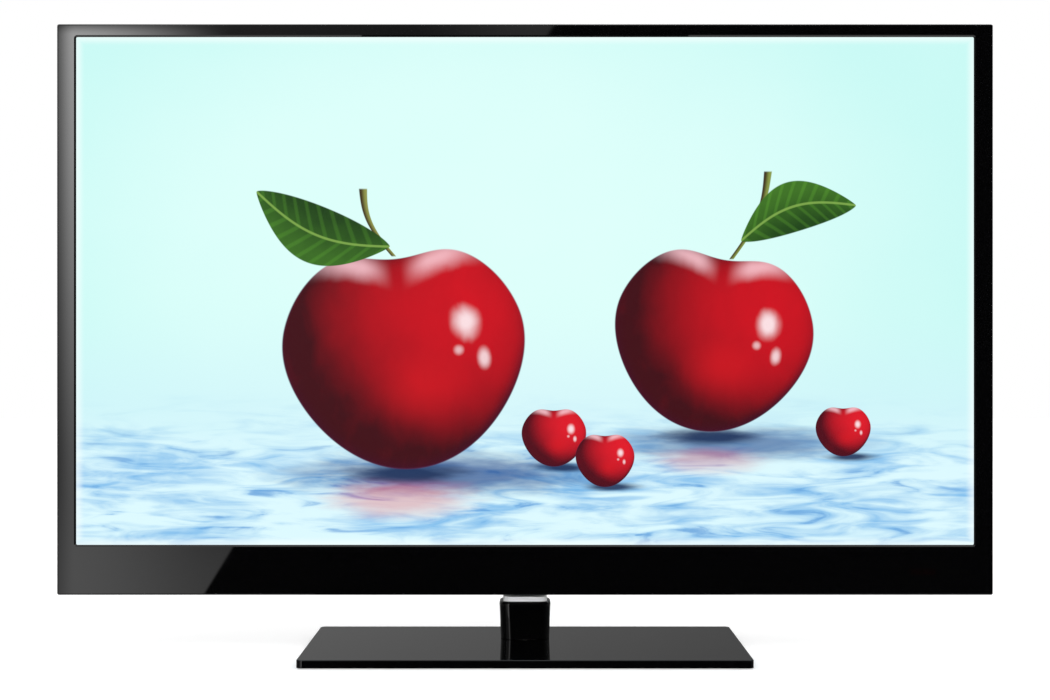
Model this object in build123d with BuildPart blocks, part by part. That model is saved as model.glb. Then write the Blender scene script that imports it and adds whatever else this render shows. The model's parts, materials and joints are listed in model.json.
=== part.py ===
from build123d import *
import os

# A flat screen television on a pedestal whose neck swivels.
# Millimetres. The origin is on the floor under the middle of the base, +X is to the viewer's right,
# the screen faces -Y and +Z is up.

os.makedirs("parts", exist_ok=True)

# Gaps and overruns shared by all pieces
overrun = 5
slip_gap = 0.1
seat_gap = 0.3
running_gap = 0.05
screw_gap = 0.05

# Base
base_width = 448
base_depth = 230
base_height = 8
base_corner_radius = 6
base_edge_radius = 1
base_skin = 2.8
base_rim = 3
foot_stand_out = 1.2
foot_diameter = 22
foot_inset = 28
weight_plate_thickness = 2.5
weight_plate_gap = 0.5
base_boss_diameter = 8
base_boss_inset_x = 44
base_boss_inset_y = 40
base_screw_head_diameter = 12
base_screw_head_height = 1.6
base_screw_diameter = 3
base_screw_length = 4

# Swivel
swivel_spigot_diameter = 26
bush_wall = 2.5
bush_flange_diameter = 38
bush_flange_thickness = 0.8
friction_washer_thickness = 0.5
friction_washer_diameter = 44
retainer_diameter = 46
retainer_thickness = 2
swivel_screw_circle = 17
swivel_screw_count = 4
swivel_screw_diameter = 4
swivel_screw_head_diameter = 7.6
swivel_screw_head_height = 1.6
swivel_screw_length = 7

# Neck
neck_front_y = 17
neck_width = 54
neck_foot_width = 51
neck_depth = 45
neck_corner_radius = 12
neck_height = 44.6
neck_foot_gap = 0.4
neck_wall = 2.5
neck_edge_radius = 3
neck_cap_width = 46
neck_cap_depth = 38
neck_cap_thickness = 5
neck_cap_radius = 9
neck_cap_edge = 0.4
column_width = 40
column_depth = 10
column_front_gap = 25
column_top_margin = 2
column_flange_width = 40
column_flange_depth = 34
column_flange_thickness = 4
column_flange_radius = 8
column_pocket_width = 12
column_pocket_depth = 6
column_pocket_foot = 52

# Cabinet
stand_gap = 49.5
cabinet_width = 969
cabinet_height = 591
cabinet_front_y = -4
cabinet_corner_radius = 2
bezel_edge_radius = 1.5
bezel_wall = 2.4
bezel_side_wall = 2.2
bezel_depth = 14
window_side_rail = 19.5
window_top_rail = 13.2
window_bottom_rail = 51.8
window_corner_radius = 1.5
window_bevel = 1.8
boss_diameter = 7
boss_hole_diameter = 2.6
boss_hole_depth = 7

# Display module
gasket_thickness = 1
gasket_width = 4
module_side_border = 9.1
module_top_border = 8
module_bottom_border = 12
frame_wall = 0.8
frame_lip_setback = 2
frame_depth = 7.6
cell_thickness = 1.8
cell_side_border = 5
cell_top_border = 4
cell_bottom_border = 4
mid_frame_wall = 1.6
mid_frame_lip_thickness = 1.2
film_room = 1.4
sheet_thickness = 0.35
sheet_gap = 0.03
sheet_count = 3
sheet_border = 3
light_guide_thickness = 3
reflector_thickness = 0.25
back_plate_thickness = 1
back_plate_wall = 0.8
led_board_thickness = 1
led_board_depth = 3.6
led_board_margin = 12
led_size = 2.4
led_height = 1.2
led_length = 5
led_pitch = 24
rib_width = 16
rib_height = 0.8
film_thickness = 0.2
film_width = 46
film_count = 8
film_pitch = 100
source_board_share = 0.4
source_board_height = 9
source_board_thickness = 1.2
source_board_centre_share = 0.264
source_spacer = 0.8
source_spacer_width = 12

# Electronics
board_thickness = 1.6
standoff_diameter = 6
board_hole_inset = 6
power_board_width = 120
power_board_height = 180
power_board_centre_x = 128
power_board_lift_z = 92
power_standoff = 7
main_board_width = 198
main_board_height = 124
main_board_gap_x = 1.8
main_board_gap_z = 1.8
main_standoff = 22
timing_board_width = 120
timing_board_height = 50
timing_board_lift_z = 120
timing_standoff = 4
shield_width = 84
shield_height = 32
shield_thickness = 3.4
transformer_width = 34
transformer_height = 28
transformer_depth = 22
transformer_pitch = 58
core_overhang = 5
core_height = 14
capacitor_diameter = 22
capacitor_height = 25
capacitor_pitch = 30
capacitor_count = 3
heatsink_length = 70
heatsink_height = 24
heatsink_web = 2
fin_count = 6
fin_thickness = 1.2
fin_length = 9
chip_sink_size = 44
chip_sink_base = 3
chip_sink_height = 12
chip_sink_fin_count = 8
chip_sink_lift = 2
tuner_width = 18
tuner_length = 44
tuner_depth = 13
chassis_screw_diameter = 2.5
chassis_screw_length = 5
chassis_screw_head_diameter = 5.5
chassis_screw_head_height = 1.8
clip_width = 14
clip_thickness = 1.2
clip_overlap = 9
ribbon_width = 20
ribbon_thickness = 0.4
ribbon_overlap = 8
harness_diameter = 3.6
harness_inset = 14
link_plug_inset = 5

# Rear cover
cover_inset = 0.6
cover_depth = 16
cover_wall = 2.2
cover_edge_chamfer = 1.6
bulge_depth = 32
bulge_root_width = 704
bulge_root_height = 424
bulge_root_rise = 15
bulge_side_slope = 22
bulge_top_slope = 26
bulge_bottom_slope = 4
bulge_corner_radius = 18
crown_edge_radius = 4
bay_floor_drop = 2.2
side_bay_wall_inset = 68
side_bay_low_rise = 64
side_bay_height = 104
lower_bay_height = 30
signal_bay_width = 196
signal_bay_inset = 80
mains_bay_width = 62
mains_bay_centre_x = 226
cover_boss_diameter = 9
cover_boss_length = 8
cover_screw_recess = 7
cover_screw_recess_depth = 6
cover_screw_diameter = 2.5
cover_screw_hole_diameter = 3.2
cover_screw_length = 9
cover_screw_head_diameter = 6
cover_screw_head_height = 2
cover_top_screw_drop = 20
lower_screw_rise = 7.5
vent_width = 2.6
vent_length = 26
vent_pitch = 8
vent_columns = 44
outer_vent_columns = 10
outer_vent_centre_x = 258
vent_rows = 2
vent_row_pitch = 34
vent_drop = 50
low_vent_columns = 22
low_vent_rise = 22
low_vent_centre_x = 135
sound_slot_width = 2
sound_slot_length = 9
sound_slot_pitch = 5
sound_slot_columns = 26
sound_slot_rise = 11
stand_access_diameter = 9.4

# Wall mount
wall_mount_pitch_x = 400
wall_mount_pitch_z = 200
wall_mount_rise = 264.5
pillar_diameter = 14
pillar_flange_diameter = 20
pillar_flange_thickness = 2
pillar_thread_diameter = 6
pillar_thread_depth = 20

# Stand bracket
bracket_thickness = 2
bracket_width = 60
bracket_flange = 12
bracket_height = 72
bracket_rise = 41
stand_screw_pitch_x = 24
stand_screw_pitch_z = 40
stand_screw_diameter = 4
stand_screw_hole_diameter = 4.4
stand_screw_length = 15
stand_screw_head_diameter = 7.6
stand_screw_head_height = 2.4

# Sound
speaker_width = 150
speaker_height = 30
speaker_depth = 19
speaker_centre_share = 0.29
speaker_wall = 2
speaker_corner_radius = 4
speaker_rise = 2.6
cone_width = 70
cone_height = 22
cone_depth = 6
cone_dish = 3
cone_rim = 3

# Remote control receiver
ir_inset = 72.5
ir_rise = 24
ir_lens_width = 26
ir_lens_height = 6
ir_lens_flange = 1.5
ir_lens_flange_thickness = 0.8
ir_board_width = 36
ir_board_height = 14
ir_board_gap = 4
ir_sensor_width = 7
ir_sensor_height = 6
ir_post_diameter = 5

# Keys on the right edge
key_centre_y = 16
key_width = 5
key_length = 11
key_pitch = 17
key_top_rise = 52
rocker_length = 26
rocker_pitch = 32
key_stand_out = 0.5
key_corner_radius = 1.2
key_edge_radius = 0.4
key_slot_gap = 0.25
key_lip = 0.9
key_lip_thickness = 1
key_stem_diameter = 3
key_tip_drop = 8.4
key_stem_entry = 1.1
rocker_slot_gap = 0.45
rocker_thickness = 6
rocker_arm = 9
rocker_axle_drop = 3.6
rocker_axle_diameter = 1.6
rocker_axle_reach = 0.6
switch_size = 6
switch_height = 3.5
switch_hole_gap = 0.4
switch_well_depth = 3
key_board_thickness = 1.2
key_board_width = 9.6
key_board_margin = 10
carrier_wall = 1.2
carrier_floor = 1.4

# Sockets
socket_gap = 0.4
socket_stand_out = 0.4
hdmi_width = 15
hdmi_height = 6
hdmi_depth = 12
hdmi_wall = 0.6
hdmi_tongue_width = 11
hdmi_tongue_thickness = 1.6
hdmi_well_depth = 10
usb_width = 13.4
usb_height = 6.2
usb_depth = 14
usb_wall = 0.5
usb_tongue_width = 11
usb_tongue_thickness = 1.9
lan_width = 16
lan_height = 13.4
lan_depth = 16
lan_well_width = 11.8
lan_well_height = 8
lan_well_rise = 2.4
lan_well_depth = 12
lan_key_width = 6
lan_key_height = 2
vga_width = 30.8
vga_height = 12.5
vga_depth = 8
vga_shell_width = 17
vga_shell_height = 8.4
vga_shell_length = 5.6
vga_shell_radius = 2.4
vga_pin_diameter = 1.1
vga_pin_pitch = 2.3
vga_pin_depth = 3
vga_nut_diameter = 5
vga_nut_pitch = 25
phono_count = 5
phono_pitch = 13.6
phono_body_width = 11
phono_body_height = 12.6
phono_body_depth = 10
phono_barrel_diameter = 8.3
phono_barrel_length = 7.5
phono_bore_diameter = 3.3
phono_bore_depth = 12
phono_axis_rise = 7.2
aerial_diameter = 9.4
aerial_length = 11
aerial_bore_diameter = 1.4
aerial_bore_depth = 8
headphone_body = 11
headphone_body_height = 9
headphone_depth = 13
headphone_barrel_diameter = 7
headphone_barrel_length = 2.4
headphone_bore_diameter = 3.6
headphone_bore_depth = 14
side_socket_top_margin = 16
side_socket_pitch = 22
signal_socket_margin = 22
signal_socket_pitch = 28
aerial_gap = 15
inlet_width = 27.4
inlet_height = 20
inlet_depth = 24
inlet_flange_width = 34
inlet_flange_height = 25
inlet_flange_thickness = 1.8
inlet_corner_radius = 2
inlet_well_width = 24
inlet_well_height = 16
inlet_well_depth = 16
inlet_well_chamfer = 4
inlet_centre_y = 42.4
inlet_pin_width = 2
inlet_pin_height = 4
inlet_pin_length = 14
inlet_pin_root = 12
inlet_pin_pitch = 14
inlet_pin_drop = 2
inlet_earth_rise = 2

# Heights worked out from the sizes above
base_bottom_z = foot_stand_out
base_top_z = base_bottom_z + base_height
skin_bottom_z = base_top_z - base_skin
plate_bottom_z = skin_bottom_z - weight_plate_thickness
neck_foot_z = base_top_z + neck_foot_gap
neck_top_z = base_top_z + neck_height
column_foot_z = base_top_z + bush_flange_thickness
cabinet_bottom_z = base_top_z + stand_gap
cabinet_centre_z = cabinet_bottom_z + cabinet_height / 2
window_bottom_z = cabinet_bottom_z + window_bottom_rail
window_height = cabinet_height - window_bottom_rail - window_top_rail
window_width = cabinet_width - 2 * window_side_rail
window_centre_z = window_bottom_z + window_height / 2
module_bottom_z = window_bottom_z - module_bottom_border
module_top_z = window_bottom_z + window_height + module_top_border
module_centre_z = (module_bottom_z + module_top_z) / 2
module_width = window_width + 2 * module_side_border
module_height = module_top_z - module_bottom_z
bulge_bottom_z = cabinet_bottom_z + bulge_root_rise
crown_bottom_z = bulge_bottom_z + bulge_bottom_slope
bulge_crown_width = bulge_root_width - 2 * bulge_side_slope
bulge_crown_height = bulge_root_height - bulge_bottom_slope - bulge_top_slope

# Depths worked out from the sizes above
swivel_axis_y = neck_front_y + neck_depth / 2
column_front_y = neck_front_y + column_front_gap
column_back_y = column_front_y + column_depth
bezel_inner_y = cabinet_front_y + bezel_wall
frame_front_y = bezel_inner_y + gasket_thickness
cell_front_y = frame_front_y + frame_wall
cell_back_y = cell_front_y + cell_thickness
sheet_front_y = cell_back_y + mid_frame_lip_thickness + sheet_gap
light_guide_y = sheet_front_y + sheet_count * (sheet_thickness + sheet_gap)
reflector_y = light_guide_y + light_guide_thickness + sheet_gap
back_plate_y = reflector_y + reflector_thickness + sheet_gap
chassis_y = back_plate_y + back_plate_thickness
seam_y = cabinet_front_y + bezel_depth
cover_back_y = seam_y + cover_depth
cover_inner_y = cover_back_y - cover_wall
boss_top_y = cover_inner_y - cover_boss_length
crown_y = cover_back_y + bulge_depth
bay_floor_y = cover_back_y + bay_floor_drop
power_board_y = chassis_y + power_standoff
main_board_y = chassis_y + main_standoff
main_socket_y = main_board_y + board_thickness
timing_board_y = chassis_y + timing_standoff

# Places across the width
bezel_inner_x = cabinet_width / 2 - bezel_side_wall
boss_centre_x = (bezel_inner_x + module_width / 2) / 2
source_board_width = source_board_share * module_width
source_board_centre_x = source_board_centre_share * module_width
speaker_centre_x = speaker_centre_share * cabinet_width
ir_centre_x = cabinet_width / 2 - ir_inset
cover_side_x = cabinet_width / 2 - cover_inset
cover_inner_x = cover_side_x - cover_wall
side_bay_x = -bulge_crown_width / 2 + side_bay_wall_inset
side_bay_low_z = cabinet_bottom_z + side_bay_low_rise
side_bay_high_z = side_bay_low_z + side_bay_height
lower_bay_z = bulge_bottom_z + lower_bay_height
signal_bay_low_x = side_bay_x + signal_bay_inset - side_bay_wall_inset
signal_bay_high_x = signal_bay_low_x + signal_bay_width
main_board_low_x = side_bay_x + cover_wall + main_board_gap_x
main_board_high_x = main_board_low_x + main_board_width
main_board_low_z = lower_bay_z + cover_wall + main_board_gap_z
main_board_high_z = main_board_low_z + main_board_height
wall_mount_centre_z = crown_bottom_z + wall_mount_rise
bracket_bottom_z = cabinet_bottom_z + bracket_rise
bracket_centre_z = bracket_bottom_z + bracket_height / 2
column_top_z = bracket_bottom_z + bracket_height - column_top_margin

# Fastener rows, as shares of the cabinet's size
side_screw_shares = (-0.34, -0.16, 0.17, 0.4)
lower_screw_shares = (-0.459, -0.186, -0.062, 0.062, 0.186, 0.459)
upper_screw_shares = (-0.41, -0.14, 0.14, 0.41)
side_clip_shares = (-0.22, 0.28)
lower_clip_shares = (-0.47, 0.47)

side_boss_places = [
    (side * boss_centre_x, cabinet_centre_z + share * cabinet_height)
    for side in (-1, 1)
    for share in side_screw_shares
]
lower_boss_z = cabinet_bottom_z + lower_screw_rise
lower_boss_places = [(share * cabinet_width, lower_boss_z) for share in lower_screw_shares]
upper_screw_z = module_top_z - cover_top_screw_drop
upper_screw_places = [(share * cabinet_width, upper_screw_z) for share in upper_screw_shares]
cover_screw_places = side_boss_places + lower_boss_places + upper_screw_places
side_clip_places = [
    (side * boss_centre_x, cabinet_centre_z + share * cabinet_height)
    for side in (-1, 1)
    for share in side_clip_shares
]
lower_clip_z = module_bottom_z - boss_diameter / 2 - seat_gap
lower_clip_places = [(share * cabinet_width, lower_clip_z) for share in lower_clip_shares]


def facing(y):
    """Plane at depth y that looks out of the screen: local x is +X, local y is +Z."""
    return Plane(origin=(0, y, 0), x_dir=(1, 0, 0), z_dir=(0, -1, 0))


def level(z):
    """Horizontal plane at height z."""
    return Plane.XY.offset(z)


def sideways(x):
    """Plane at x that looks to the right: local x is +Y, local y is +Z."""
    return Plane.YZ.offset(x)


def rear_spot(x, y, z):
    """Place of a fastener driven from behind: its shank runs towards the screen."""
    return Location(Plane(origin=(x, y, z), x_dir=(1, 0, 0), z_dir=(0, -1, 0)))


def side_mouth(z):
    """Place of a socket whose mouth looks to the left out of the side bay."""
    return Location(Plane(origin=(side_bay_x - socket_stand_out, main_socket_y, z), x_dir=(0, 0, 1),
                          z_dir=(-1, 0, 0)))


def lower_mouth(x):
    """Place of a socket whose mouth looks down out of the signal bay."""
    return Location(Plane(origin=(x, main_socket_y, lower_bay_z - socket_stand_out), x_dir=(-1, 0, 0),
                          z_dir=(0, 0, -1)))


def pan_screw(shank_diameter, shank_length, head_diameter, head_height):
    """Pan-head screw whose head bears on its own XY plane and whose shank runs along +Z."""
    slot_width = head_diameter / 7
    slot_length = head_diameter * 3 / 5
    slot_depth = head_height / 2
    with BuildPart() as screw:
        with BuildSketch(Plane.XY.offset(-head_height)):
            Circle(head_diameter / 2)
        extrude(amount=head_height)
        fillet(screw.edges().group_by(Axis.Z)[0], head_height / 3)
        with BuildSketch():
            Circle(shank_diameter / 2)
        extrude(amount=shank_length)
        chamfer(screw.edges().group_by(Axis.Z)[-1], shank_diameter / 6)
        with BuildSketch(Plane.XY.offset(-head_height)):
            Rectangle(slot_width, slot_length)
            Rectangle(slot_length, slot_width)
        extrude(amount=slot_depth, mode=Mode.SUBTRACT)
    return screw.part


# Base cover: a shallow gloss tray, open below, with bosses that hold the weight plate
base_boss_pitch_x = (base_width / 2 - base_boss_inset_x) * 2 / 3
base_boss_pitch_y = base_depth - 2 * base_boss_inset_y
base_boss_places = [
    (column * base_boss_pitch_x, row * base_boss_pitch_y / 2)
    for column in (-1.5, -0.5, 0.5, 1.5)
    for row in (-1, 1)
]
bush_outer_radius = swivel_spigot_diameter / 2 + running_gap + bush_wall
with BuildPart() as base_cover:
    with BuildSketch(level(base_bottom_z)):
        RectangleRounded(base_width, base_depth, base_corner_radius)
    extrude(amount=base_height)
    fillet(base_cover.faces().sort_by(Axis.Z)[-1].edges(), base_edge_radius)
    with BuildSketch(level(base_bottom_z)):
        RectangleRounded(base_width - 2 * base_rim, base_depth - 2 * base_rim, base_corner_radius - base_rim)
    extrude(amount=base_height - base_skin, mode=Mode.SUBTRACT)
    with BuildSketch(level(plate_bottom_z)):
        with Locations(*base_boss_places):
            Circle(base_boss_diameter / 2)
    extrude(amount=weight_plate_thickness)
    with BuildSketch(level(plate_bottom_z)):
        with Locations(*base_boss_places):
            Circle(base_screw_diameter / 2)
    extrude(amount=base_screw_length + seat_gap, mode=Mode.SUBTRACT)
    with BuildSketch(level(base_bottom_z)):
        with Locations((0, swivel_axis_y)):
            Circle(bush_outer_radius + running_gap)
    extrude(amount=base_height, mode=Mode.SUBTRACT)
base_cover.part.label = "base_cover"

# Weight plate: steel, against the underside of the tray's skin
plate_width = base_width - 2 * (base_rim + weight_plate_gap)
plate_depth = base_depth - 2 * (base_rim + weight_plate_gap)
with BuildPart() as base_weight_plate:
    with BuildSketch(level(plate_bottom_z)):
        RectangleRounded(plate_width, plate_depth, base_corner_radius - base_rim)
        with Locations(*base_boss_places):
            Circle(base_boss_diameter / 2 + slip_gap, mode=Mode.SUBTRACT)
        with Locations((0, swivel_axis_y)):
            Circle(bush_outer_radius + running_gap, mode=Mode.SUBTRACT)
    extrude(amount=weight_plate_thickness)
base_weight_plate.part.label = "base_weight_plate"

# Feet: six rubber pads bonded to the weight plate, four at the corners and two beside the swivel
foot_reach_x = base_width / 2 - foot_inset
foot_reach_y = base_depth / 2 - foot_inset
swivel_foot_x = retainer_diameter / 2 + foot_diameter
with BuildPart() as base_feet:
    with BuildSketch():
        with GridLocations(2 * foot_reach_x, 2 * foot_reach_y, 2, 2):
            Circle(foot_diameter / 2)
        with Locations((-swivel_foot_x, swivel_axis_y), (swivel_foot_x, swivel_axis_y)):
            Circle(foot_diameter / 2)
    extrude(amount=plate_bottom_z)
    chamfer(base_feet.edges().group_by(Axis.Z)[0], foot_stand_out / 2)
base_feet.part.label = "base_feet"

base_screw = pan_screw(base_screw_diameter - 2 * screw_gap, base_screw_length, base_screw_head_diameter,
                       base_screw_head_height)
with BuildPart() as base_screws:
    with Locations(*[(x, y, plate_bottom_z) for x, y in base_boss_places]):
        add(base_screw)
base_screws.part.label = "base_screws"

# Swivel bush: a flanged sleeve that the neck's spigot turns in
with BuildPart() as swivel_bush:
    with BuildSketch(level(plate_bottom_z)):
        with Locations((0, swivel_axis_y)):
            Circle(bush_outer_radius)
    extrude(amount=base_top_z - plate_bottom_z)
    with BuildSketch(level(base_top_z)):
        with Locations((0, swivel_axis_y)):
            Circle(bush_flange_diameter / 2)
    extrude(amount=bush_flange_thickness)
    with BuildSketch(level(plate_bottom_z)):
        with Locations((0, swivel_axis_y)):
            Circle(swivel_spigot_diameter / 2 + running_gap)
    extrude(amount=column_foot_z - plate_bottom_z, mode=Mode.SUBTRACT)
swivel_bush.part.label = "swivel_bush"

# Friction washer and retaining disc under the base
washer_bottom_z = plate_bottom_z - friction_washer_thickness
retainer_bottom_z = washer_bottom_z - retainer_thickness
with BuildPart() as swivel_washer:
    with BuildSketch(level(washer_bottom_z)):
        with Locations((0, swivel_axis_y)):
            Circle(friction_washer_diameter / 2)
            Circle(swivel_spigot_diameter / 2 + slip_gap, mode=Mode.SUBTRACT)
    extrude(amount=friction_washer_thickness)
swivel_washer.part.label = "swivel_washer"

with BuildPart() as swivel_retainer:
    with BuildSketch(level(retainer_bottom_z)):
        with Locations((0, swivel_axis_y)):
            Circle(retainer_diameter / 2)
            with PolarLocations(swivel_screw_circle / 2, swivel_screw_count):
                Circle(swivel_screw_diameter / 2 + slip_gap, mode=Mode.SUBTRACT)
    extrude(amount=retainer_thickness)
    with Locations((0, swivel_axis_y, retainer_bottom_z)):
        with PolarLocations(swivel_screw_circle / 2, swivel_screw_count):
            Cone(
                swivel_screw_head_diameter / 2 + slip_gap,
                swivel_screw_diameter / 2 + slip_gap,
                swivel_screw_head_height,
                align=(Align.CENTER, Align.CENTER, Align.MIN),
                mode=Mode.SUBTRACT,
            )
swivel_retainer.part.label = "swivel_retainer"

with BuildPart() as swivel_screws:
    with Locations((0, swivel_axis_y, retainer_bottom_z)):
        with PolarLocations(swivel_screw_circle / 2, swivel_screw_count):
            Cone(
                swivel_screw_head_diameter / 2,
                swivel_screw_diameter / 2,
                swivel_screw_head_height,
                align=(Align.CENTER, Align.CENTER, Align.MIN),
            )
            Cylinder(
                swivel_screw_diameter / 2,
                swivel_screw_length,
                align=(Align.CENTER, Align.CENTER, Align.MIN),
            )
swivel_screws.part.label = "swivel_screws"

# Neck column: a cast upright with a foot flange and the spigot that turns in the bush
column_centre_y = (column_front_y + column_back_y) / 2
stand_screw_spots = [
    (column * stand_screw_pitch_x / 2, bracket_centre_z + row * stand_screw_pitch_z / 2)
    for column in (-1, 1)
    for row in (-1, 1)
]
with BuildPart() as neck_column:
    with BuildSketch(level(washer_bottom_z)):
        with Locations((0, swivel_axis_y)):
            Circle(swivel_spigot_diameter / 2)
    extrude(amount=column_foot_z - washer_bottom_z)
    with BuildSketch(level(column_foot_z)):
        with Locations((0, swivel_axis_y)):
            RectangleRounded(column_flange_width, column_flange_depth, column_flange_radius)
    extrude(amount=column_flange_thickness)
    with BuildSketch(level(column_foot_z)):
        with Locations((0, column_centre_y)):
            Rectangle(column_width, column_depth)
    extrude(amount=column_top_z - column_foot_z)
    with BuildSketch(facing(column_back_y)):
        with Locations((0, column_foot_z + column_pocket_foot / 2)):
            with GridLocations(2 * column_pocket_width, 0, 2, 1):
                Rectangle(column_pocket_width, column_pocket_foot / 2)
    extrude(amount=column_pocket_depth, mode=Mode.SUBTRACT)
    with BuildSketch(facing(column_back_y)):
        with Locations(*stand_screw_spots):
            Circle(stand_screw_hole_diameter / 2)
    extrude(amount=column_depth, mode=Mode.SUBTRACT)
    with BuildSketch(level(washer_bottom_z)):
        with Locations((0, swivel_axis_y)):
            with PolarLocations(swivel_screw_circle / 2, swivel_screw_count):
                Circle(swivel_screw_diameter / 2 + screw_gap)
    extrude(amount=swivel_screw_length, mode=Mode.SUBTRACT)
neck_column.part.label = "neck_column"


def neck_form(inset, foot_z, top_z, edge_radius):
    """Tapered neck, smaller all round by inset, with its top edge rounded."""
    with BuildPart() as form:
        with BuildSketch(level(foot_z)):
            with Locations((0, swivel_axis_y)):
                RectangleRounded(
                    neck_foot_width - 2 * inset,
                    neck_depth - 2 * inset,
                    neck_corner_radius - inset,
                )
        with BuildSketch(level(top_z)):
            with Locations((0, swivel_axis_y)):
                RectangleRounded(neck_width - 2 * inset, neck_depth - 2 * inset, neck_corner_radius - inset)
        loft()
        fillet(form.faces().sort_by(Axis.Z)[-1].edges(), edge_radius)
    return form.part


# Neck covers: two gloss half shells that meet beside the column, and a bright collar on top of them
neck_shell_top_z = neck_top_z - neck_cap_thickness
neck_outside = neck_form(0, neck_foot_z, neck_shell_top_z, neck_edge_radius)
neck_inside = neck_form(neck_wall, neck_foot_z, neck_shell_top_z - neck_wall, neck_wall / 2)
with BuildPart() as neck_shell:
    add(neck_outside)
    add(neck_inside, mode=Mode.SUBTRACT)
    with BuildSketch(level(neck_foot_z)):
        with Locations((0, column_centre_y)):
            Rectangle(column_width + 2 * slip_gap, column_depth + 2 * slip_gap)
    extrude(amount=neck_height, mode=Mode.SUBTRACT)

with BuildPart() as neck_cover_front:
    add(neck_shell.part)
    split(bisect_by=facing(swivel_axis_y), keep=Keep.TOP)
neck_cover_front.part.label = "neck_cover_front"

with BuildPart() as neck_cover_rear:
    add(neck_shell.part)
    split(bisect_by=facing(swivel_axis_y), keep=Keep.BOTTOM)
neck_cover_rear.part.label = "neck_cover_rear"

with BuildPart() as neck_cap:
    with BuildSketch(level(neck_shell_top_z)):
        with Locations((0, swivel_axis_y)):
            RectangleRounded(neck_cap_width, neck_cap_depth, neck_cap_radius)
    extrude(amount=neck_cap_thickness)
    chamfer(neck_cap.edges().group_by(Axis.Z)[-1], neck_cap_edge)
    with BuildSketch(level(neck_shell_top_z)):
        with Locations((0, column_centre_y)):
            Rectangle(column_width + 2 * slip_gap, column_depth + 2 * slip_gap)
    extrude(amount=neck_cap_thickness, mode=Mode.SUBTRACT)
neck_cap.part.label = "neck_cap"

# Stand bracket: a folded channel on the chassis that the column is screwed to
with BuildPart() as stand_bracket:
    with BuildSketch(level(bracket_bottom_z)):
        with Locations((0, column_front_y - bracket_thickness / 2)):
            Rectangle(bracket_width, bracket_thickness)
        with Locations((0, (column_front_y + chassis_y) / 2)):
            with GridLocations(bracket_width - bracket_thickness, 0, 2, 1):
                Rectangle(bracket_thickness, column_front_y - chassis_y)
        with Locations((0, chassis_y + bracket_thickness / 2)):
            with GridLocations(bracket_width + bracket_flange, 0, 2, 1):
                Rectangle(bracket_flange, bracket_thickness)
    extrude(amount=bracket_height)
    with BuildSketch(facing(column_front_y)):
        with Locations(*stand_screw_spots):
            Circle(stand_screw_diameter / 2 + screw_gap)
    extrude(amount=-bracket_thickness, both=True, mode=Mode.SUBTRACT)
stand_bracket.part.label = "stand_bracket"

stand_screw = pan_screw(stand_screw_diameter, stand_screw_length, stand_screw_head_diameter,
                        stand_screw_head_height)
with BuildPart() as stand_screws:
    with Locations(*[rear_spot(x, column_back_y, z) for x, z in stand_screw_spots]):
        add(stand_screw)
stand_screws.part.label = "stand_screws"

# Front bezel: one moulded frame with a bevelled window, side walls and screw bosses
ir_centre_z = cabinet_bottom_z + ir_rise
ir_board_y = bezel_inner_y + ir_board_gap
ir_post_spots = [(ir_centre_x + side * (ir_board_width / 2 - ir_post_diameter / 2), ir_centre_z)
                 for side in (-1, 1)]
with BuildPart() as front_bezel:
    with BuildSketch(facing(cabinet_front_y)):
        with Locations((0, cabinet_centre_z)):
            RectangleRounded(cabinet_width, cabinet_height, cabinet_corner_radius)
    extrude(amount=-bezel_depth)
    fillet(front_bezel.faces().sort_by(Axis.Y)[0].edges(), bezel_edge_radius)
    with BuildSketch(facing(bezel_inner_y)):
        with Locations((0, cabinet_centre_z)):
            Rectangle(cabinet_width - 2 * bezel_side_wall, cabinet_height - 2 * bezel_side_wall)
    extrude(amount=-bezel_depth, mode=Mode.SUBTRACT)
    with BuildSketch(facing(cabinet_front_y)):
        with Locations((0, window_centre_z)):
            RectangleRounded(window_width, window_height, window_corner_radius)
    extrude(amount=-bezel_wall, mode=Mode.SUBTRACT)
    chamfer(front_bezel.faces().sort_by(Axis.Y)[0].inner_wires().edges(), window_bevel)
    with BuildSketch(facing(bezel_inner_y)):
        with Locations(*side_boss_places, *lower_boss_places):
            Circle(boss_diameter / 2)
    extrude(amount=-(boss_top_y - bezel_inner_y))
    with BuildSketch(facing(boss_top_y)):
        with Locations(*side_boss_places, *lower_boss_places):
            Circle(boss_hole_diameter / 2)
    extrude(amount=boss_hole_depth, mode=Mode.SUBTRACT)
    with BuildSketch(facing(bezel_inner_y)):
        with Locations(*side_clip_places, *lower_clip_places):
            Circle(boss_diameter / 2)
    extrude(amount=-(chassis_y - bezel_inner_y))
    with BuildSketch(facing(chassis_y)):
        with Locations(*side_clip_places, *lower_clip_places):
            Circle(boss_hole_diameter / 2)
    extrude(amount=boss_hole_depth, mode=Mode.SUBTRACT)
    with BuildSketch(facing(bezel_inner_y)):
        with Locations(*ir_post_spots):
            Circle(ir_post_diameter / 2)
    extrude(amount=-ir_board_gap)
    with BuildSketch(facing(cabinet_front_y)):
        with Locations((ir_centre_x, ir_centre_z)):
            Rectangle(ir_lens_width, ir_lens_height)
    extrude(amount=-bezel_wall, mode=Mode.SUBTRACT)
front_bezel.part.label = "front_bezel"

# Remote control receiver behind a dark lens
with BuildPart() as ir_lens:
    with BuildSketch(facing(cabinet_front_y)):
        with Locations((ir_centre_x, ir_centre_z)):
            Rectangle(ir_lens_width - 2 * slip_gap, ir_lens_height - 2 * slip_gap)
    extrude(amount=-bezel_wall)
    with BuildSketch(facing(bezel_inner_y)):
        with Locations((ir_centre_x, ir_centre_z)):
            Rectangle(ir_lens_width - ir_lens_flange, ir_lens_height + 2 * ir_lens_flange)
    extrude(amount=-ir_lens_flange_thickness)
ir_lens.part.label = "ir_lens"

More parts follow.
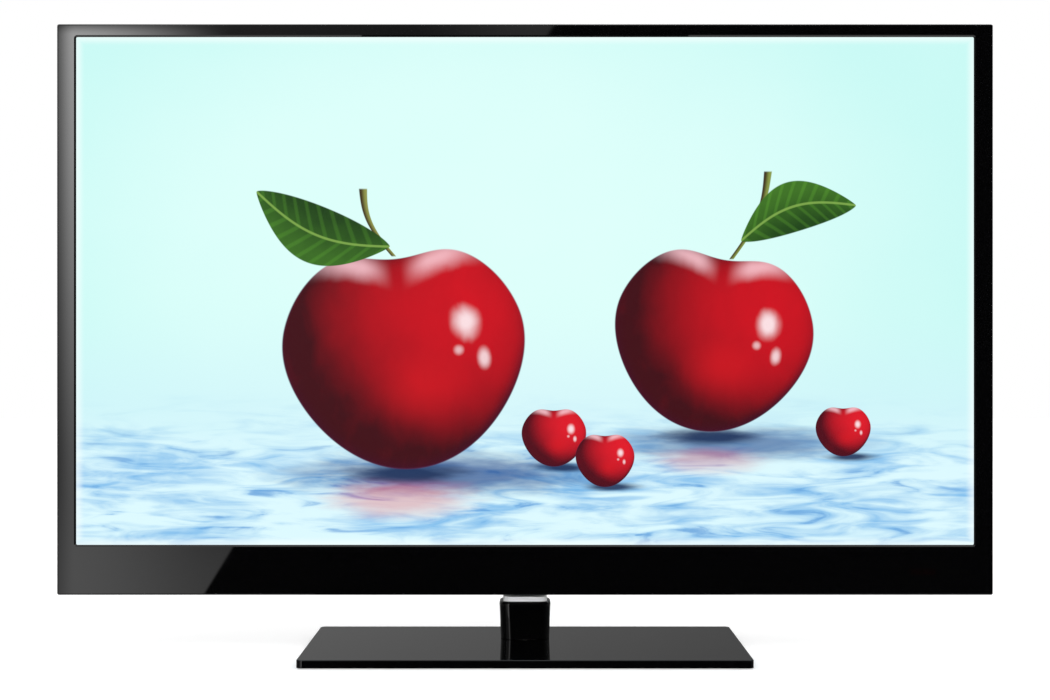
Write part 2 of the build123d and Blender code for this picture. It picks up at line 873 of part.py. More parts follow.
with BuildPart() as ir_board:
    with BuildSketch(facing(ir_board_y)):
        with Locations((ir_centre_x, ir_centre_z)):
            Rectangle(ir_board_width, ir_board_height)
    extrude(amount=-key_board_thickness)
    with BuildSketch(facing(ir_board_y)):
        with Locations((ir_centre_x, ir_centre_z)):
            Rectangle(ir_sensor_width, ir_sensor_height)
    extrude(amount=ir_board_gap - ir_lens_flange_thickness - seat_gap)
ir_board.part.label = "ir_board"

# Gasket between the bezel's lip and the display module
with BuildPart() as window_gasket:
    with BuildSketch(facing(bezel_inner_y)):
        with Locations((0, window_centre_z)):
            Rectangle(
                window_width + 2 * (frame_lip_setback + gasket_width),
                window_height + 2 * (frame_lip_setback + gasket_width),
            )
            Rectangle(
                window_width + 2 * frame_lip_setback,
                window_height + 2 * frame_lip_setback,
                mode=Mode.SUBTRACT,
            )
    extrude(amount=-gasket_thickness)
window_gasket.part.label = "window_gasket"

# Display module, from the picture side to the back
with BuildPart() as cell_front_frame:
    with BuildSketch(facing(frame_front_y)):
        with Locations((0, module_centre_z)):
            Rectangle(module_width, module_height)
    extrude(amount=-frame_depth)
    with BuildSketch(facing(cell_front_y)):
        with Locations((0, module_centre_z)):
            Rectangle(module_width - 2 * frame_wall, module_height - 2 * frame_wall)
    extrude(amount=-frame_depth, mode=Mode.SUBTRACT)
    with BuildSketch(facing(frame_front_y)):
        with Locations((0, window_centre_z)):
            Rectangle(window_width + 2 * frame_lip_setback, window_height + 2 * frame_lip_setback)
    extrude(amount=-frame_wall, mode=Mode.SUBTRACT)
cell_front_frame.part.label = "cell_front_frame"

cell_width = window_width + 2 * cell_side_border
cell_bottom_z = window_bottom_z - cell_bottom_border
cell_top_z = window_bottom_z + window_height + cell_top_border
with BuildPart() as lcd_cell:
    with BuildSketch(facing(cell_front_y)):
        with Locations((0, (cell_bottom_z + cell_top_z) / 2)):
            Rectangle(cell_width, cell_top_z - cell_bottom_z)
    extrude(amount=-cell_thickness)
lcd_cell.part.label = "lcd_cell"

mid_bottom_z = module_bottom_z + film_room
mid_top_z = module_top_z - frame_wall - slip_gap
mid_width = module_width - 2 * (frame_wall + slip_gap)
mid_centre_z = (mid_bottom_z + mid_top_z) / 2
mid_height = mid_top_z - mid_bottom_z
tray_width = mid_width - 2 * (mid_frame_wall + slip_gap)
tray_height = mid_height - 2 * (mid_frame_wall + slip_gap)
with BuildPart() as mid_frame:
    with BuildSketch(facing(cell_back_y)):
        with Locations((0, mid_centre_z)):
            Rectangle(mid_width, mid_height)
    extrude(amount=-(back_plate_y - cell_back_y))
    with BuildSketch(facing(cell_back_y + mid_frame_lip_thickness)):
        with Locations((0, mid_centre_z)):
            Rectangle(mid_width - 2 * mid_frame_wall, mid_height - 2 * mid_frame_wall)
    extrude(amount=-back_plate_y, mode=Mode.SUBTRACT)
    with BuildSketch(facing(cell_back_y)):
        with Locations((0, window_centre_z)):
            Rectangle(window_width + 2 * frame_lip_setback, window_height + 2 * frame_lip_setback)
    extrude(amount=-mid_frame_lip_thickness, mode=Mode.SUBTRACT)
mid_frame.part.label = "mid_frame"

sheet_width = window_width + 2 * sheet_border
sheet_height = window_height + 2 * sheet_border
with BuildPart() as optical_sheets:
    for layer in range(sheet_count):
        with BuildSketch(facing(sheet_front_y + layer * (sheet_thickness + sheet_gap))):
            with Locations((0, window_centre_z)):
                Rectangle(sheet_width, sheet_height)
        extrude(amount=-sheet_thickness)
optical_sheets.part.label = "optical_sheets"

with BuildPart() as light_guide:
    with BuildSketch(facing(light_guide_y)):
        with Locations((0, window_centre_z)):
            Rectangle(sheet_width, sheet_height)
    extrude(amount=-light_guide_thickness)
light_guide.part.label = "light_guide"

with BuildPart() as reflector_sheet:
    with BuildSketch(facing(reflector_y)):
        with Locations((0, window_centre_z)):
            Rectangle(sheet_width, sheet_height)
    extrude(amount=-reflector_thickness)
reflector_sheet.part.label = "reflector_sheet"

# Edge lights: a strip of packages along each end of the light guide
led_board_x = tray_width / 2 - back_plate_wall - slip_gap - led_board_thickness
led_centre_y = light_guide_y + light_guide_thickness / 2
led_board_height = sheet_height - 2 * led_board_margin
led_rows = int(led_board_height // led_pitch)
with BuildPart() as led_bars:
    for side in (-1, 1):
        with BuildSketch(sideways(side * (led_board_x + led_board_thickness / 2))):
            with Locations((led_centre_y, window_centre_z)):
                Rectangle(led_board_depth, led_board_height)
        extrude(amount=led_board_thickness / 2, both=True)
led_bars.part.label = "led_bars"

with BuildPart() as led_packages:
    for side in (-1, 1):
        with BuildSketch(sideways(side * led_board_x)):
            with Locations((led_centre_y, window_centre_z)):
                with GridLocations(0, led_pitch, 1, led_rows):
                    Rectangle(led_size, led_length)
        extrude(amount=-side * led_height)
led_packages.part.label = "led_packages"

# Back plate: a pressed steel tray with stiffening ribs, and standoffs for every board
power_board_low_z = cabinet_bottom_z + power_board_lift_z
power_board_centre_z = power_board_low_z + power_board_height / 2
main_board_centre_x = (main_board_low_x + main_board_high_x) / 2
main_board_centre_z = (main_board_low_z + main_board_high_z) / 2
timing_board_centre_z = cabinet_bottom_z + timing_board_lift_z + timing_board_height / 2


def board_corners(centre_x, centre_z, width, height):
    """Screw places near the four corners of a board."""
    reach_x = width / 2 - board_hole_inset
    reach_z = height / 2 - board_hole_inset
    return [(centre_x + i * reach_x, centre_z + j * reach_z) for i in (-1, 1) for j in (-1, 1)]


power_corners = board_corners(power_board_centre_x, power_board_centre_z, power_board_width,
                              power_board_height)
main_corners = board_corners(main_board_centre_x, main_board_centre_z, main_board_width, main_board_height)
timing_corners = board_corners(0, timing_board_centre_z, timing_board_width, timing_board_height)
cover_post_length = boss_top_y - chassis_y
standoffs = (
    (power_corners, power_standoff),
    (main_corners, main_standoff),
    (timing_corners, timing_standoff),
    (upper_screw_places, cover_post_length),
)
rib_reach_z = module_top_z - 3 * cover_top_screw_drop
with BuildPart() as back_plate:
    with BuildSketch(facing(light_guide_y)):
        with Locations((0, mid_centre_z)):
            Rectangle(tray_width, tray_height)
    extrude(amount=-(chassis_y - light_guide_y))
    with BuildSketch(facing(light_guide_y)):
        with Locations((0, mid_centre_z)):
            Rectangle(tray_width - 2 * back_plate_wall, tray_height - 2 * back_plate_wall)
    extrude(amount=-(back_plate_y - light_guide_y), mode=Mode.SUBTRACT)
    with BuildSketch(facing(chassis_y)):
        with Locations((0, rib_reach_z)):
            with GridLocations(0, 2 * rib_width, 1, 2):
                Rectangle(tray_width - 8 * rib_width, rib_width)
    extrude(amount=-rib_height)
    for spots, length in standoffs:
        with BuildSketch(facing(chassis_y)):
            with Locations(*spots):
                Circle(standoff_diameter / 2)
        extrude(amount=-length)
        with BuildSketch(facing(chassis_y + length)):
            with Locations(*spots):
                Circle(chassis_screw_diameter / 2 + screw_gap)
        extrude(amount=min(length, boss_hole_depth), mode=Mode.SUBTRACT)
back_plate.part.label = "back_plate"

# Clips that hold the module's back plate to the bezel's short bosses
side_clip_reach = boss_centre_x + boss_diameter / 2 - tray_width / 2 + clip_overlap
lower_clip_reach = clip_overlap + boss_diameter + 2 * seat_gap + mid_bottom_z - module_bottom_z
clip_screw_spots = []
with BuildPart() as panel_clips:
    for x, z in side_clip_places:
        inward = -1 if x > 0 else 1
        with BuildSketch(facing(chassis_y)):
            with Locations((x - inward * boss_diameter / 2 + inward * side_clip_reach / 2, z)):
                Rectangle(side_clip_reach, clip_width)
        extrude(amount=-clip_thickness)
        clip_screw_spots.append((x, z))
    for x, z in lower_clip_places:
        with BuildSketch(facing(chassis_y)):
            with Locations((x, z - boss_diameter / 2 + lower_clip_reach / 2)):
                Rectangle(clip_width, lower_clip_reach)
        extrude(amount=-clip_thickness)
        clip_screw_spots.append((x, z))
    with BuildSketch(facing(chassis_y)):
        with Locations(*clip_screw_spots):
            Circle(chassis_screw_diameter / 2 + slip_gap)
    extrude(amount=-clip_thickness, mode=Mode.SUBTRACT)
panel_clips.part.label = "panel_clips"

# Source boards behind the lower edge, and the films that reach them from the cell
source_board_y = chassis_y + source_spacer
source_board_low_z = mid_bottom_z + mid_frame_wall
source_board_centre_z = source_board_low_z + source_board_height / 2
with BuildPart() as source_boards:
    with BuildSketch(facing(source_board_y)):
        with Locations((0, source_board_centre_z)):
            with GridLocations(2 * source_board_centre_x, 0, 2, 1):
                Rectangle(source_board_width, source_board_height)
    extrude(amount=-source_board_thickness)
    with BuildSketch(facing(source_board_y)):
        with Locations((0, source_board_centre_z)):
            for side in (-1, 1):
                with Locations((side * source_board_centre_x, 0)):
                    with GridLocations(source_board_width - source_spacer_width, 0, 2, 1):
                        Rectangle(source_spacer_width, source_board_height / 2)
    extrude(amount=source_spacer)
source_boards.part.label = "source_boards"

film_bottom_z = module_bottom_z + frame_wall + slip_gap
film_back_y = source_board_y + source_board_thickness
film_places = [
    side * (source_board_centre_x + (slot - (film_count / 2 - 1) / 2) * film_pitch)
    for side in (-1, 1)
    for slot in range(film_count // 2)
]
with BuildPart() as flex_films:
    for x in film_places:
        with BuildSketch(sideways(x)):
            with BuildLine():
                Polyline(
                    (cell_front_y, cell_bottom_z),
                    (cell_front_y, film_bottom_z),
                    (film_back_y + film_thickness, film_bottom_z),
                    (film_back_y + film_thickness, source_board_centre_z),
                    (film_back_y, source_board_centre_z),
                    (film_back_y, film_bottom_z + film_thickness),
                    (cell_front_y + film_thickness, film_bottom_z + film_thickness),
                    (cell_front_y + film_thickness, cell_bottom_z),
                    close=True,
                )
            make_face()
        extrude(amount=film_width / 2, both=True)
flex_films.part.label = "flex_films"

# Timing board with its shield
with BuildPart() as timing_board:
    with BuildSketch(facing(timing_board_y)):
        with Locations((0, timing_board_centre_z)):
            Rectangle(timing_board_width, timing_board_height)
        with Locations(*timing_corners):
            Circle(chassis_screw_diameter / 2 + slip_gap, mode=Mode.SUBTRACT)
    extrude(amount=-board_thickness)
    with BuildSketch(facing(timing_board_y + board_thickness)):
        with Locations((0, timing_board_centre_z)):
            RectangleRounded(shield_width, shield_height, neck_wall)
    extrude(amount=-shield_thickness)
timing_board.part.label = "timing_board"

# Power board with its wound parts, capacitors and heatsinks
power_face_y = power_board_y + board_thickness
with BuildPart() as power_board:
    with BuildSketch(facing(power_board_y)):
        with Locations((power_board_centre_x, power_board_centre_z)):
            Rectangle(power_board_width, power_board_height)
        with Locations(*power_corners):
            Circle(chassis_screw_diameter / 2 + slip_gap, mode=Mode.SUBTRACT)
    extrude(amount=-board_thickness)
power_board.part.label = "power_board"

transformer_z = power_board_centre_z - transformer_pitch / 2
capacitor_z = power_board_centre_z + transformer_pitch / 2
with BuildPart() as power_components:
    with BuildSketch(facing(power_face_y)):
        with Locations((power_board_centre_x, transformer_z)):
            with GridLocations(transformer_pitch, 0, 2, 1):
                Rectangle(transformer_width, transformer_height)
    extrude(amount=-transformer_depth)
    with BuildSketch(facing(power_face_y + core_overhang)):
        with Locations((power_board_centre_x, transformer_z)):
            with GridLocations(transformer_pitch, 0, 2, 1):
                Rectangle(transformer_width + 2 * core_overhang, core_height)
    extrude(amount=-(transformer_depth - 2 * core_overhang))
    with BuildSketch(facing(power_face_y)):
        with Locations((power_board_centre_x, capacitor_z)):
            with GridLocations(capacitor_pitch, 0, capacitor_count, 1):
                Circle(capacitor_diameter / 2)
    extrude(amount=-capacitor_height)
    fillet(power_components.edges().group_by(Axis.Y)[-1], core_overhang / 5)
power_components.part.label = "power_components"

sink_reach_z = (transformer_pitch + transformer_height) / 2 + fin_length + 2 * overrun
with BuildPart() as power_heatsinks:
    with BuildSketch(facing(power_face_y)):
        with Locations((power_board_centre_x, power_board_centre_z)):
            for side in (-1, 1):
                with Locations((0, side * sink_reach_z)):
                    Rectangle(heatsink_length, heatsink_web)
                    with GridLocations(heatsink_length / fin_count, 0, fin_count, 1):
                        Rectangle(fin_thickness, fin_length)
    extrude(amount=-heatsink_height)
power_heatsinks.part.label = "power_heatsinks"

# Main board with its chip heatsink and tuner
with BuildPart() as main_board:
    with BuildSketch(facing(main_board_y)):
        with Locations((main_board_centre_x, main_board_centre_z)):
            Rectangle(main_board_width, main_board_height)
        with Locations(*main_corners):
            Circle(chassis_screw_diameter / 2 + slip_gap, mode=Mode.SUBTRACT)
    extrude(amount=-board_thickness)
    with BuildSketch(facing(main_socket_y)):
        with Locations((main_board_centre_x, main_board_centre_z)):
            Rectangle(chip_sink_size, chip_sink_size)
    extrude(amount=-chip_sink_lift)
main_board.part.label = "main_board"

with BuildPart() as main_heatsink:
    with BuildSketch(facing(main_socket_y + chip_sink_lift)):
        with Locations((main_board_centre_x, main_board_centre_z)):
            Rectangle(chip_sink_size, chip_sink_size)
    extrude(amount=-chip_sink_base)
    with BuildSketch(facing(main_socket_y + chip_sink_lift + chip_sink_base)):
        with Locations((main_board_centre_x, main_board_centre_z)):
            with GridLocations(chip_sink_size / chip_sink_fin_count, 0, chip_sink_fin_count, 1):
                Rectangle(fin_thickness, chip_sink_size)
    extrude(amount=-(chip_sink_height - chip_sink_base))
main_heatsink.part.label = "main_heatsink"

signal_places = [signal_bay_low_x + signal_socket_margin + slot * signal_socket_pitch for slot in range(3)]
phono_places = [
    signal_places[-1] + signal_socket_margin + slot * phono_pitch for slot in range(phono_count)
]
aerial_x = phono_places[-1] + aerial_gap
tuner_low_z = main_board_low_z + socket_gap
with BuildPart() as tuner_can:
    with BuildSketch(facing(main_socket_y)):
        with Locations((aerial_x, tuner_low_z + tuner_length / 2)):
            Rectangle(tuner_width, tuner_length)
    extrude(amount=-tuner_depth)
    with BuildSketch(level(lower_bay_z - aerial_length)):
        with Locations((aerial_x, main_socket_y + phono_axis_rise)):
            Circle(aerial_diameter / 2)
    extrude(amount=tuner_low_z - lower_bay_z + aerial_length)
    with BuildSketch(level(lower_bay_z - aerial_length)):
        with Locations((aerial_x, main_socket_y + phono_axis_rise)):
            Circle(aerial_bore_diameter / 2)
    extrude(amount=aerial_bore_depth, mode=Mode.SUBTRACT)
    chamfer(tuner_can.edges().group_by(Axis.Z)[0].filter_by(GeomType.CIRCLE).sort_by(Edge.length)[-1],
            aerial_bore_diameter / 2)
tuner_can.part.label = "tuner_can"


def boxed_socket(width, height, depth, wall, tongue_width, tongue_thickness, well_depth):
    """Shell socket with its mouth on the XY plane, its depth along -Z and its board side on y = 0."""
    with BuildPart() as socket:
        with BuildSketch():
            with Locations((0, height / 2)):
                Rectangle(width, height)
        extrude(amount=-depth)
        with BuildSketch():
            with Locations((0, height / 2)):
                Rectangle(width - 2 * wall, height - 2 * wall)
        extrude(amount=-well_depth, mode=Mode.SUBTRACT)
        with BuildSketch(Plane.XY.offset(-well_depth)):
            with Locations((0, height / 2)):
                Rectangle(tongue_width, tongue_thickness)
        extrude(amount=well_depth - 2 * wall)
    return socket.part


side_socket_places = [
    side_bay_high_z - side_socket_top_margin - slot * side_socket_pitch for slot in range(4)
]
hdmi_socket = boxed_socket(hdmi_width, hdmi_height, hdmi_depth, hdmi_wall, hdmi_tongue_width,
                           hdmi_tongue_thickness, hdmi_well_depth)
with BuildPart() as hdmi_sockets:
    with Locations(side_mouth(side_socket_places[0]), side_mouth(side_socket_places[1]),
                   lower_mouth(signal_places[1])):
        add(hdmi_socket)
hdmi_sockets.part.label = "hdmi_sockets"

usb_local = boxed_socket(usb_width, usb_height, usb_depth, usb_wall, usb_tongue_width, usb_tongue_thickness,
                         hdmi_well_depth)
with BuildPart() as usb_socket:
    with Locations(side_mouth(side_socket_places[2])):
        add(usb_local)
usb_socket.part.label = "usb_socket"

with BuildPart() as headphone_local:
    with BuildSketch(Plane.XY.offset(-socket_gap - cover_wall - socket_stand_out)):
        with Locations((0, headphone_body_height / 2)):
            Rectangle(headphone_body, headphone_body_height)
    extrude(amount=-headphone_depth)
    with BuildSketch(Plane.XY.offset(-socket_gap - cover_wall - socket_stand_out)):
        with Locations((0, headphone_body_height / 2)):
            Circle(headphone_barrel_diameter / 2)
    extrude(amount=socket_gap + cover_wall + socket_stand_out + headphone_barrel_length - cover_wall)
    with BuildSketch(Plane.XY.offset(headphone_barrel_length)):
        with Locations((0, headphone_body_height / 2)):
            Circle(headphone_bore_diameter / 2)
    extrude(amount=-headphone_bore_depth, mode=Mode.SUBTRACT)
with BuildPart() as headphone_jack:
    with Locations(side_mouth(side_socket_places[3])):
        add(headphone_local.part)
headphone_jack.part.label = "headphone_jack"

# Network socket: a deep well with a key slot for the latch of its plug
with BuildPart() as lan_local:
    with BuildSketch():
        with Locations((0, lan_height / 2)):
            Rectangle(lan_width, lan_height)
    extrude(amount=-lan_depth)
    with BuildSketch():
        with Locations((0, lan_well_rise + lan_well_height / 2)):
            Rectangle(lan_well_width, lan_well_height)
        with Locations((0, lan_well_rise - lan_key_height / 2)):
            Rectangle(lan_key_width, lan_key_height)
    extrude(amount=-lan_well_depth, mode=Mode.SUBTRACT)
with BuildPart() as lan_socket:
    with Locations(lower_mouth(signal_places[2])):
        add(lan_local.part)
lan_socket.part.label = "lan_socket"

# VGA socket: a flanged body, a rounded shell with three rows of pin holes, and two jack nuts
vga_axis_rise = vga_height / 2
with BuildPart() as vga_local:
    with BuildSketch(Plane.XY.offset(-socket_gap - cover_wall - socket_stand_out)):
        with Locations((0, vga_axis_rise)):
            Rectangle(vga_width, vga_height)
    extrude(amount=-vga_depth)
    with BuildSketch(Plane.XY.offset(-socket_gap - cover_wall - socket_stand_out)):
        with Locations((0, vga_axis_rise)):
            RectangleRounded(vga_shell_width, vga_shell_height, vga_shell_radius)
            with GridLocations(vga_nut_pitch, 0, 2, 1):
                RegularPolygon(vga_nut_diameter / 2, 6)
    extrude(amount=socket_gap + socket_stand_out + vga_shell_length)
    with BuildSketch(Plane.XY.offset(vga_shell_length - cover_wall)):
        with Locations((0, vga_axis_rise)):
            with GridLocations(vga_pin_pitch, vga_pin_pitch, 5, 3):
                Circle(vga_pin_diameter / 2)
    extrude(amount=-vga_pin_depth, mode=Mode.SUBTRACT)
with BuildPart() as vga_socket:
    with Locations(lower_mouth(signal_places[0])):
        add(vga_local.part)
vga_socket.part.label = "vga_socket"

# Phono jacks: a row of barrels on square bodies
with BuildPart() as phono_local:
    with BuildSketch(Plane.XY.offset(-socket_gap - cover_wall - socket_stand_out)):
        with Locations((0, phono_body_height / 2)):
            Rectangle(phono_body_width, phono_body_height)
    extrude(amount=-phono_body_depth)
    with BuildSketch(Plane.XY.offset(-socket_gap - cover_wall - socket_stand_out)):
        with Locations((0, phono_axis_rise)):
            Circle(phono_barrel_diameter / 2)
    extrude(amount=socket_gap + cover_wall + socket_stand_out + phono_barrel_length)
    with BuildSketch(Plane.XY.offset(phono_barrel_length)):
        with Locations((0, phono_axis_rise)):
            Circle(phono_bore_diameter / 2)
    extrude(amount=-phono_bore_depth, mode=Mode.SUBTRACT)
with BuildPart() as phono_jacks:
    with Locations(*[lower_mouth(x) for x in phono_places]):
        add(phono_local.part)
phono_jacks.part.label = "phono_jacks"

# Mains inlet in its own bay, and its three pins
inlet_mouth_z = lower_bay_z - inlet_flange_thickness
with BuildPart() as mains_inlet:
    with BuildSketch(level(inlet_mouth_z)):
        with Locations((mains_bay_centre_x, inlet_centre_y)):
            RectangleRounded(inlet_flange_width, inlet_flange_height, inlet_corner_radius)
    extrude(amount=inlet_flange_thickness)
    with BuildSketch(level(inlet_mouth_z)):
        with Locations((mains_bay_centre_x, inlet_centre_y)):
            Rectangle(inlet_width, inlet_height)
    extrude(amount=inlet_depth)
    with BuildSketch(level(inlet_mouth_z)) as inlet_well:
        with Locations((mains_bay_centre_x, inlet_centre_y)):
            Rectangle(inlet_well_width, inlet_well_height)
        chamfer(inlet_well.vertices().group_by(Axis.Y)[-1], inlet_well_chamfer)
    extrude(amount=inlet_well_depth, mode=Mode.SUBTRACT)
    with BuildSketch(level(inlet_mouth_z + inlet_well_depth)):
        with Locations((mains_bay_centre_x, inlet_centre_y - inlet_pin_drop)):
            with GridLocations(inlet_pin_pitch, 0, 2, 1):
                Rectangle(inlet_pin_width, inlet_pin_height)
        with Locations((mains_bay_centre_x, inlet_centre_y + inlet_earth_rise)):
            Rectangle(inlet_pin_width, inlet_pin_height)
    extrude(amount=inlet_depth, mode=Mode.SUBTRACT)
mains_inlet.part.label = "mains_inlet"

with BuildPart() as inlet_pins:
    with BuildSketch(level(inlet_mouth_z + inlet_well_depth - inlet_pin_length)):
        with Locations((mains_bay_centre_x, inlet_centre_y - inlet_pin_drop)):
            with GridLocations(inlet_pin_pitch, 0, 2, 1):
                Rectangle(inlet_pin_width, inlet_pin_height)
        with Locations((mains_bay_centre_x, inlet_centre_y + inlet_earth_rise)):
            Rectangle(inlet_pin_width, inlet_pin_height)
    extrude(amount=inlet_pin_length + inlet_pin_root)
    chamfer(inlet_pins.edges().group_by(Axis.Z)[0], inlet_pin_width / 5)
inlet_pins.part.label = "inlet_pins"

# Ribbon cable from the main board down to the timing board
main_ribbon_x = main_board_high_x - ribbon_overlap
timing_ribbon_x = -timing_board_width / 2 + ribbon_overlap
main_ribbon_y = main_socket_y
timing_ribbon_y = timing_board_y + board_thickness
ribbon_turn_x = (main_board_high_x + timing_ribbon_x - ribbon_overlap) / 2
with BuildPart() as ribbon_cable:
    with BuildSketch(level(timing_board_centre_z)):
        with BuildLine():
            Polyline(
                (main_ribbon_x, main_ribbon_y),
                (ribbon_turn_x, main_ribbon_y),
                (ribbon_turn_x, timing_ribbon_y),
                (timing_ribbon_x, timing_ribbon_y),
                (timing_ribbon_x, timing_ribbon_y + ribbon_thickness),
                (ribbon_turn_x + ribbon_thickness, timing_ribbon_y + ribbon_thickness),
                (ribbon_turn_x + ribbon_thickness, main_ribbon_y + ribbon_thickness),
                (main_ribbon_x, main_ribbon_y + ribbon_thickness),
                close=True,
            )
        make_face()
    extrude(amount=ribbon_width / 2, both=True)
ribbon_cable.part.label = "ribbon_cable"

# Screws of the boards and clips
chassis_screw = pan_screw(chassis_screw_diameter, chassis_screw_length, chassis_screw_head_diameter,
                          chassis_screw_head_height)
chassis_screw_spots = (
    [rear_spot(x, power_face_y, z) for x, z in power_corners]
    + [rear_spot(x, main_socket_y, z) for x, z in main_corners]
    + [rear_spot(x, timing_board_y + board_thickness, z) for x, z in timing_corners]
    + [rear_spot(x, chassis_y + clip_thickness, z) for x, z in clip_screw_spots]
)
with BuildPart() as chassis_screws:
    with Locations(*chassis_screw_spots):
        add(chassis_screw)
chassis_screws.part.label = "chassis_screws"

# Wall mount pillars: threaded steel posts from the back plate to the cover's crown
pillar_spots = [
    (i * wall_mount_pitch_x / 2, wall_mount_centre_z + j * wall_mount_pitch_z / 2)
    for i in (-1, 1)
    for j in (-1, 1)
]
with BuildPart() as wall_mount_pillars:
    with BuildSketch(facing(crown_y)):
        with Locations(*pillar_spots):
            Circle(pillar_diameter / 2)
    extrude(amount=crown_y - chassis_y)
    with BuildSketch(facing(chassis_y)):
        with Locations(*pillar_spots):
            Circle(pillar_flange_diameter / 2)
    extrude(amount=-pillar_flange_thickness)
    with BuildSketch(facing(crown_y)):
        with Locations(*pillar_spots):
            Circle(pillar_thread_diameter / 2)
    extrude(amount=pillar_thread_depth, mode=Mode.SUBTRACT)
wall_mount_pillars.part.label = "wall_mount_pillars"

# Keys: three push keys above two rockers, in a column on the right edge
key_top_x = cover_side_x + key_stand_out
key_lip_x = cover_inner_x - seat_gap - key_lip_thickness
key_tip_x = key_top_x - key_tip_drop
switch_top_x = key_tip_x + key_stem_entry
switch_base_x = switch_top_x - switch_height
first_key_z = cabinet_centre_z + key_top_rise
push_key_places = [first_key_z - slot * key_pitch for slot in range(3)]
first_rocker_z = push_key_places[-1] - (key_length + rocker_length) / 2 - (key_pitch - key_length)
rocker_places = [first_rocker_z - slot * rocker_pitch for slot in range(2)]
rocker_axle_x = key_top_x - rocker_axle_drop


def push_key(centre_z):
    """Cap through the cover's wall, a lip behind the wall and a stem into the switch."""
    with BuildPart() as key:
        with BuildSketch(sideways(key_lip_x)):
            with Locations((key_centre_y, centre_z)):
                RectangleRounded(key_width, key_length, key_corner_radius)
        extrude(amount=key_top_x - key_lip_x)
        fillet(key.faces().sort_by(Axis.X)[-1].edges(), key_edge_radius)
        with BuildSketch(sideways(key_lip_x)):
            with Locations((key_centre_y, centre_z)):
                RectangleRounded(key_width + 2 * key_lip, key_length + 2 * key_lip, key_corner_radius)
        extrude(amount=key_lip_thickness)
        with BuildSketch(sideways(key_tip_x)):
            with Locations((key_centre_y, centre_z)):
                Circle(key_stem_diameter / 2)
        extrude(amount=key_lip_x - key_tip_x)
    return key


def rocker_key(centre_z):
    """Two-ended cap on its own axle, with a stem over each of two switches."""
    with BuildPart() as rocker:
        with BuildSketch(sideways(key_top_x - rocker_thickness)):
            with Locations((key_centre_y, centre_z)):
                RectangleRounded(key_width, rocker_length, key_corner_radius)
        extrude(amount=rocker_thickness)
        fillet(rocker.faces().sort_by(Axis.X)[-1].edges(), key_edge_radius)
        with BuildSketch(sideways(key_tip_x)):
            with Locations((key_centre_y, centre_z)):
                with GridLocations(0, 2 * rocker_arm, 1, 2):
                    Circle(key_stem_diameter / 2)
        extrude(amount=key_top_x - rocker_thickness - key_tip_x)
        with BuildSketch(facing(key_centre_y)):
            with Locations((rocker_axle_x, centre_z)):
                Circle(rocker_axle_diameter / 2)
        extrude(amount=key_board_width / 2 + slip_gap + rocker_axle_reach, both=True)
    return rocker


power_key = push_key(push_key_places[0])
power_key.part.label = "power_key"
source_key = push_key(push_key_places[1])
source_key.part.label = "source_key"
menu_key = push_key(push_key_places[2])
menu_key.part.label = "menu_key"
channel_rocker = rocker_key(rocker_places[0])
channel_rocker.part.label = "channel_rocker"
volume_rocker = rocker_key(rocker_places[1])
volume_rocker.part.label = "volume_rocker"

# Key board with seven dome switches, and the channel that carries it behind the edge of the cover
switch_places = push_key_places + [z + end * rocker_arm for z in rocker_places for end in (-1, 1)]
key_row_top_z = push_key_places[0] + key_length / 2 + key_board_margin
key_row_bottom_z = rocker_places[-1] - rocker_length / 2 - key_board_margin
key_row_centre_z = (key_row_top_z + key_row_bottom_z) / 2
key_row_length = key_row_top_z - key_row_bottom_z
with BuildPart() as key_board:
    with BuildSketch(sideways(switch_base_x)):
        with Locations((key_centre_y, key_row_centre_z)):
            Rectangle(key_board_width, key_row_length)
    extrude(amount=-key_board_thickness)
    with BuildSketch(sideways(switch_base_x)):
        with Locations(*[(key_centre_y, z) for z in switch_places]):
            Rectangle(switch_size, switch_size)
    extrude(amount=switch_height)
    with BuildSketch(sideways(switch_top_x)):
        with Locations(*[(key_centre_y, z) for z in switch_places]):
            Circle(key_stem_diameter / 2 + switch_hole_gap)
    extrude(amount=-switch_well_depth, mode=Mode.SUBTRACT)
key_board.part.label = "key_board"

carrier_inner_x = switch_base_x - key_board_thickness
carrier_width = key_board_width + 2 * (slip_gap + carrier_wall)
with BuildPart() as key_carrier:
    with BuildSketch(level(key_row_bottom_z)):
        with Locations(((cover_inner_x + carrier_inner_x - carrier_floor) / 2, key_centre_y)):
            Rectangle(cover_inner_x - carrier_inner_x + carrier_floor, carrier_width)
        with Locations(((cover_inner_x + carrier_inner_x) / 2, key_centre_y)):
            Rectangle(cover_inner_x - carrier_inner_x, carrier_width - 2 * carrier_wall, mode=Mode.SUBTRACT)
    extrude(amount=key_row_length)
    with BuildSketch(facing(key_centre_y)):
        with Locations(*[(rocker_axle_x, z) for z in rocker_places]):
            Circle(rocker_axle_diameter / 2 + running_gap)
    extrude(amount=carrier_width, both=True, mode=Mode.SUBTRACT)
key_carrier.part.label = "key_carrier"

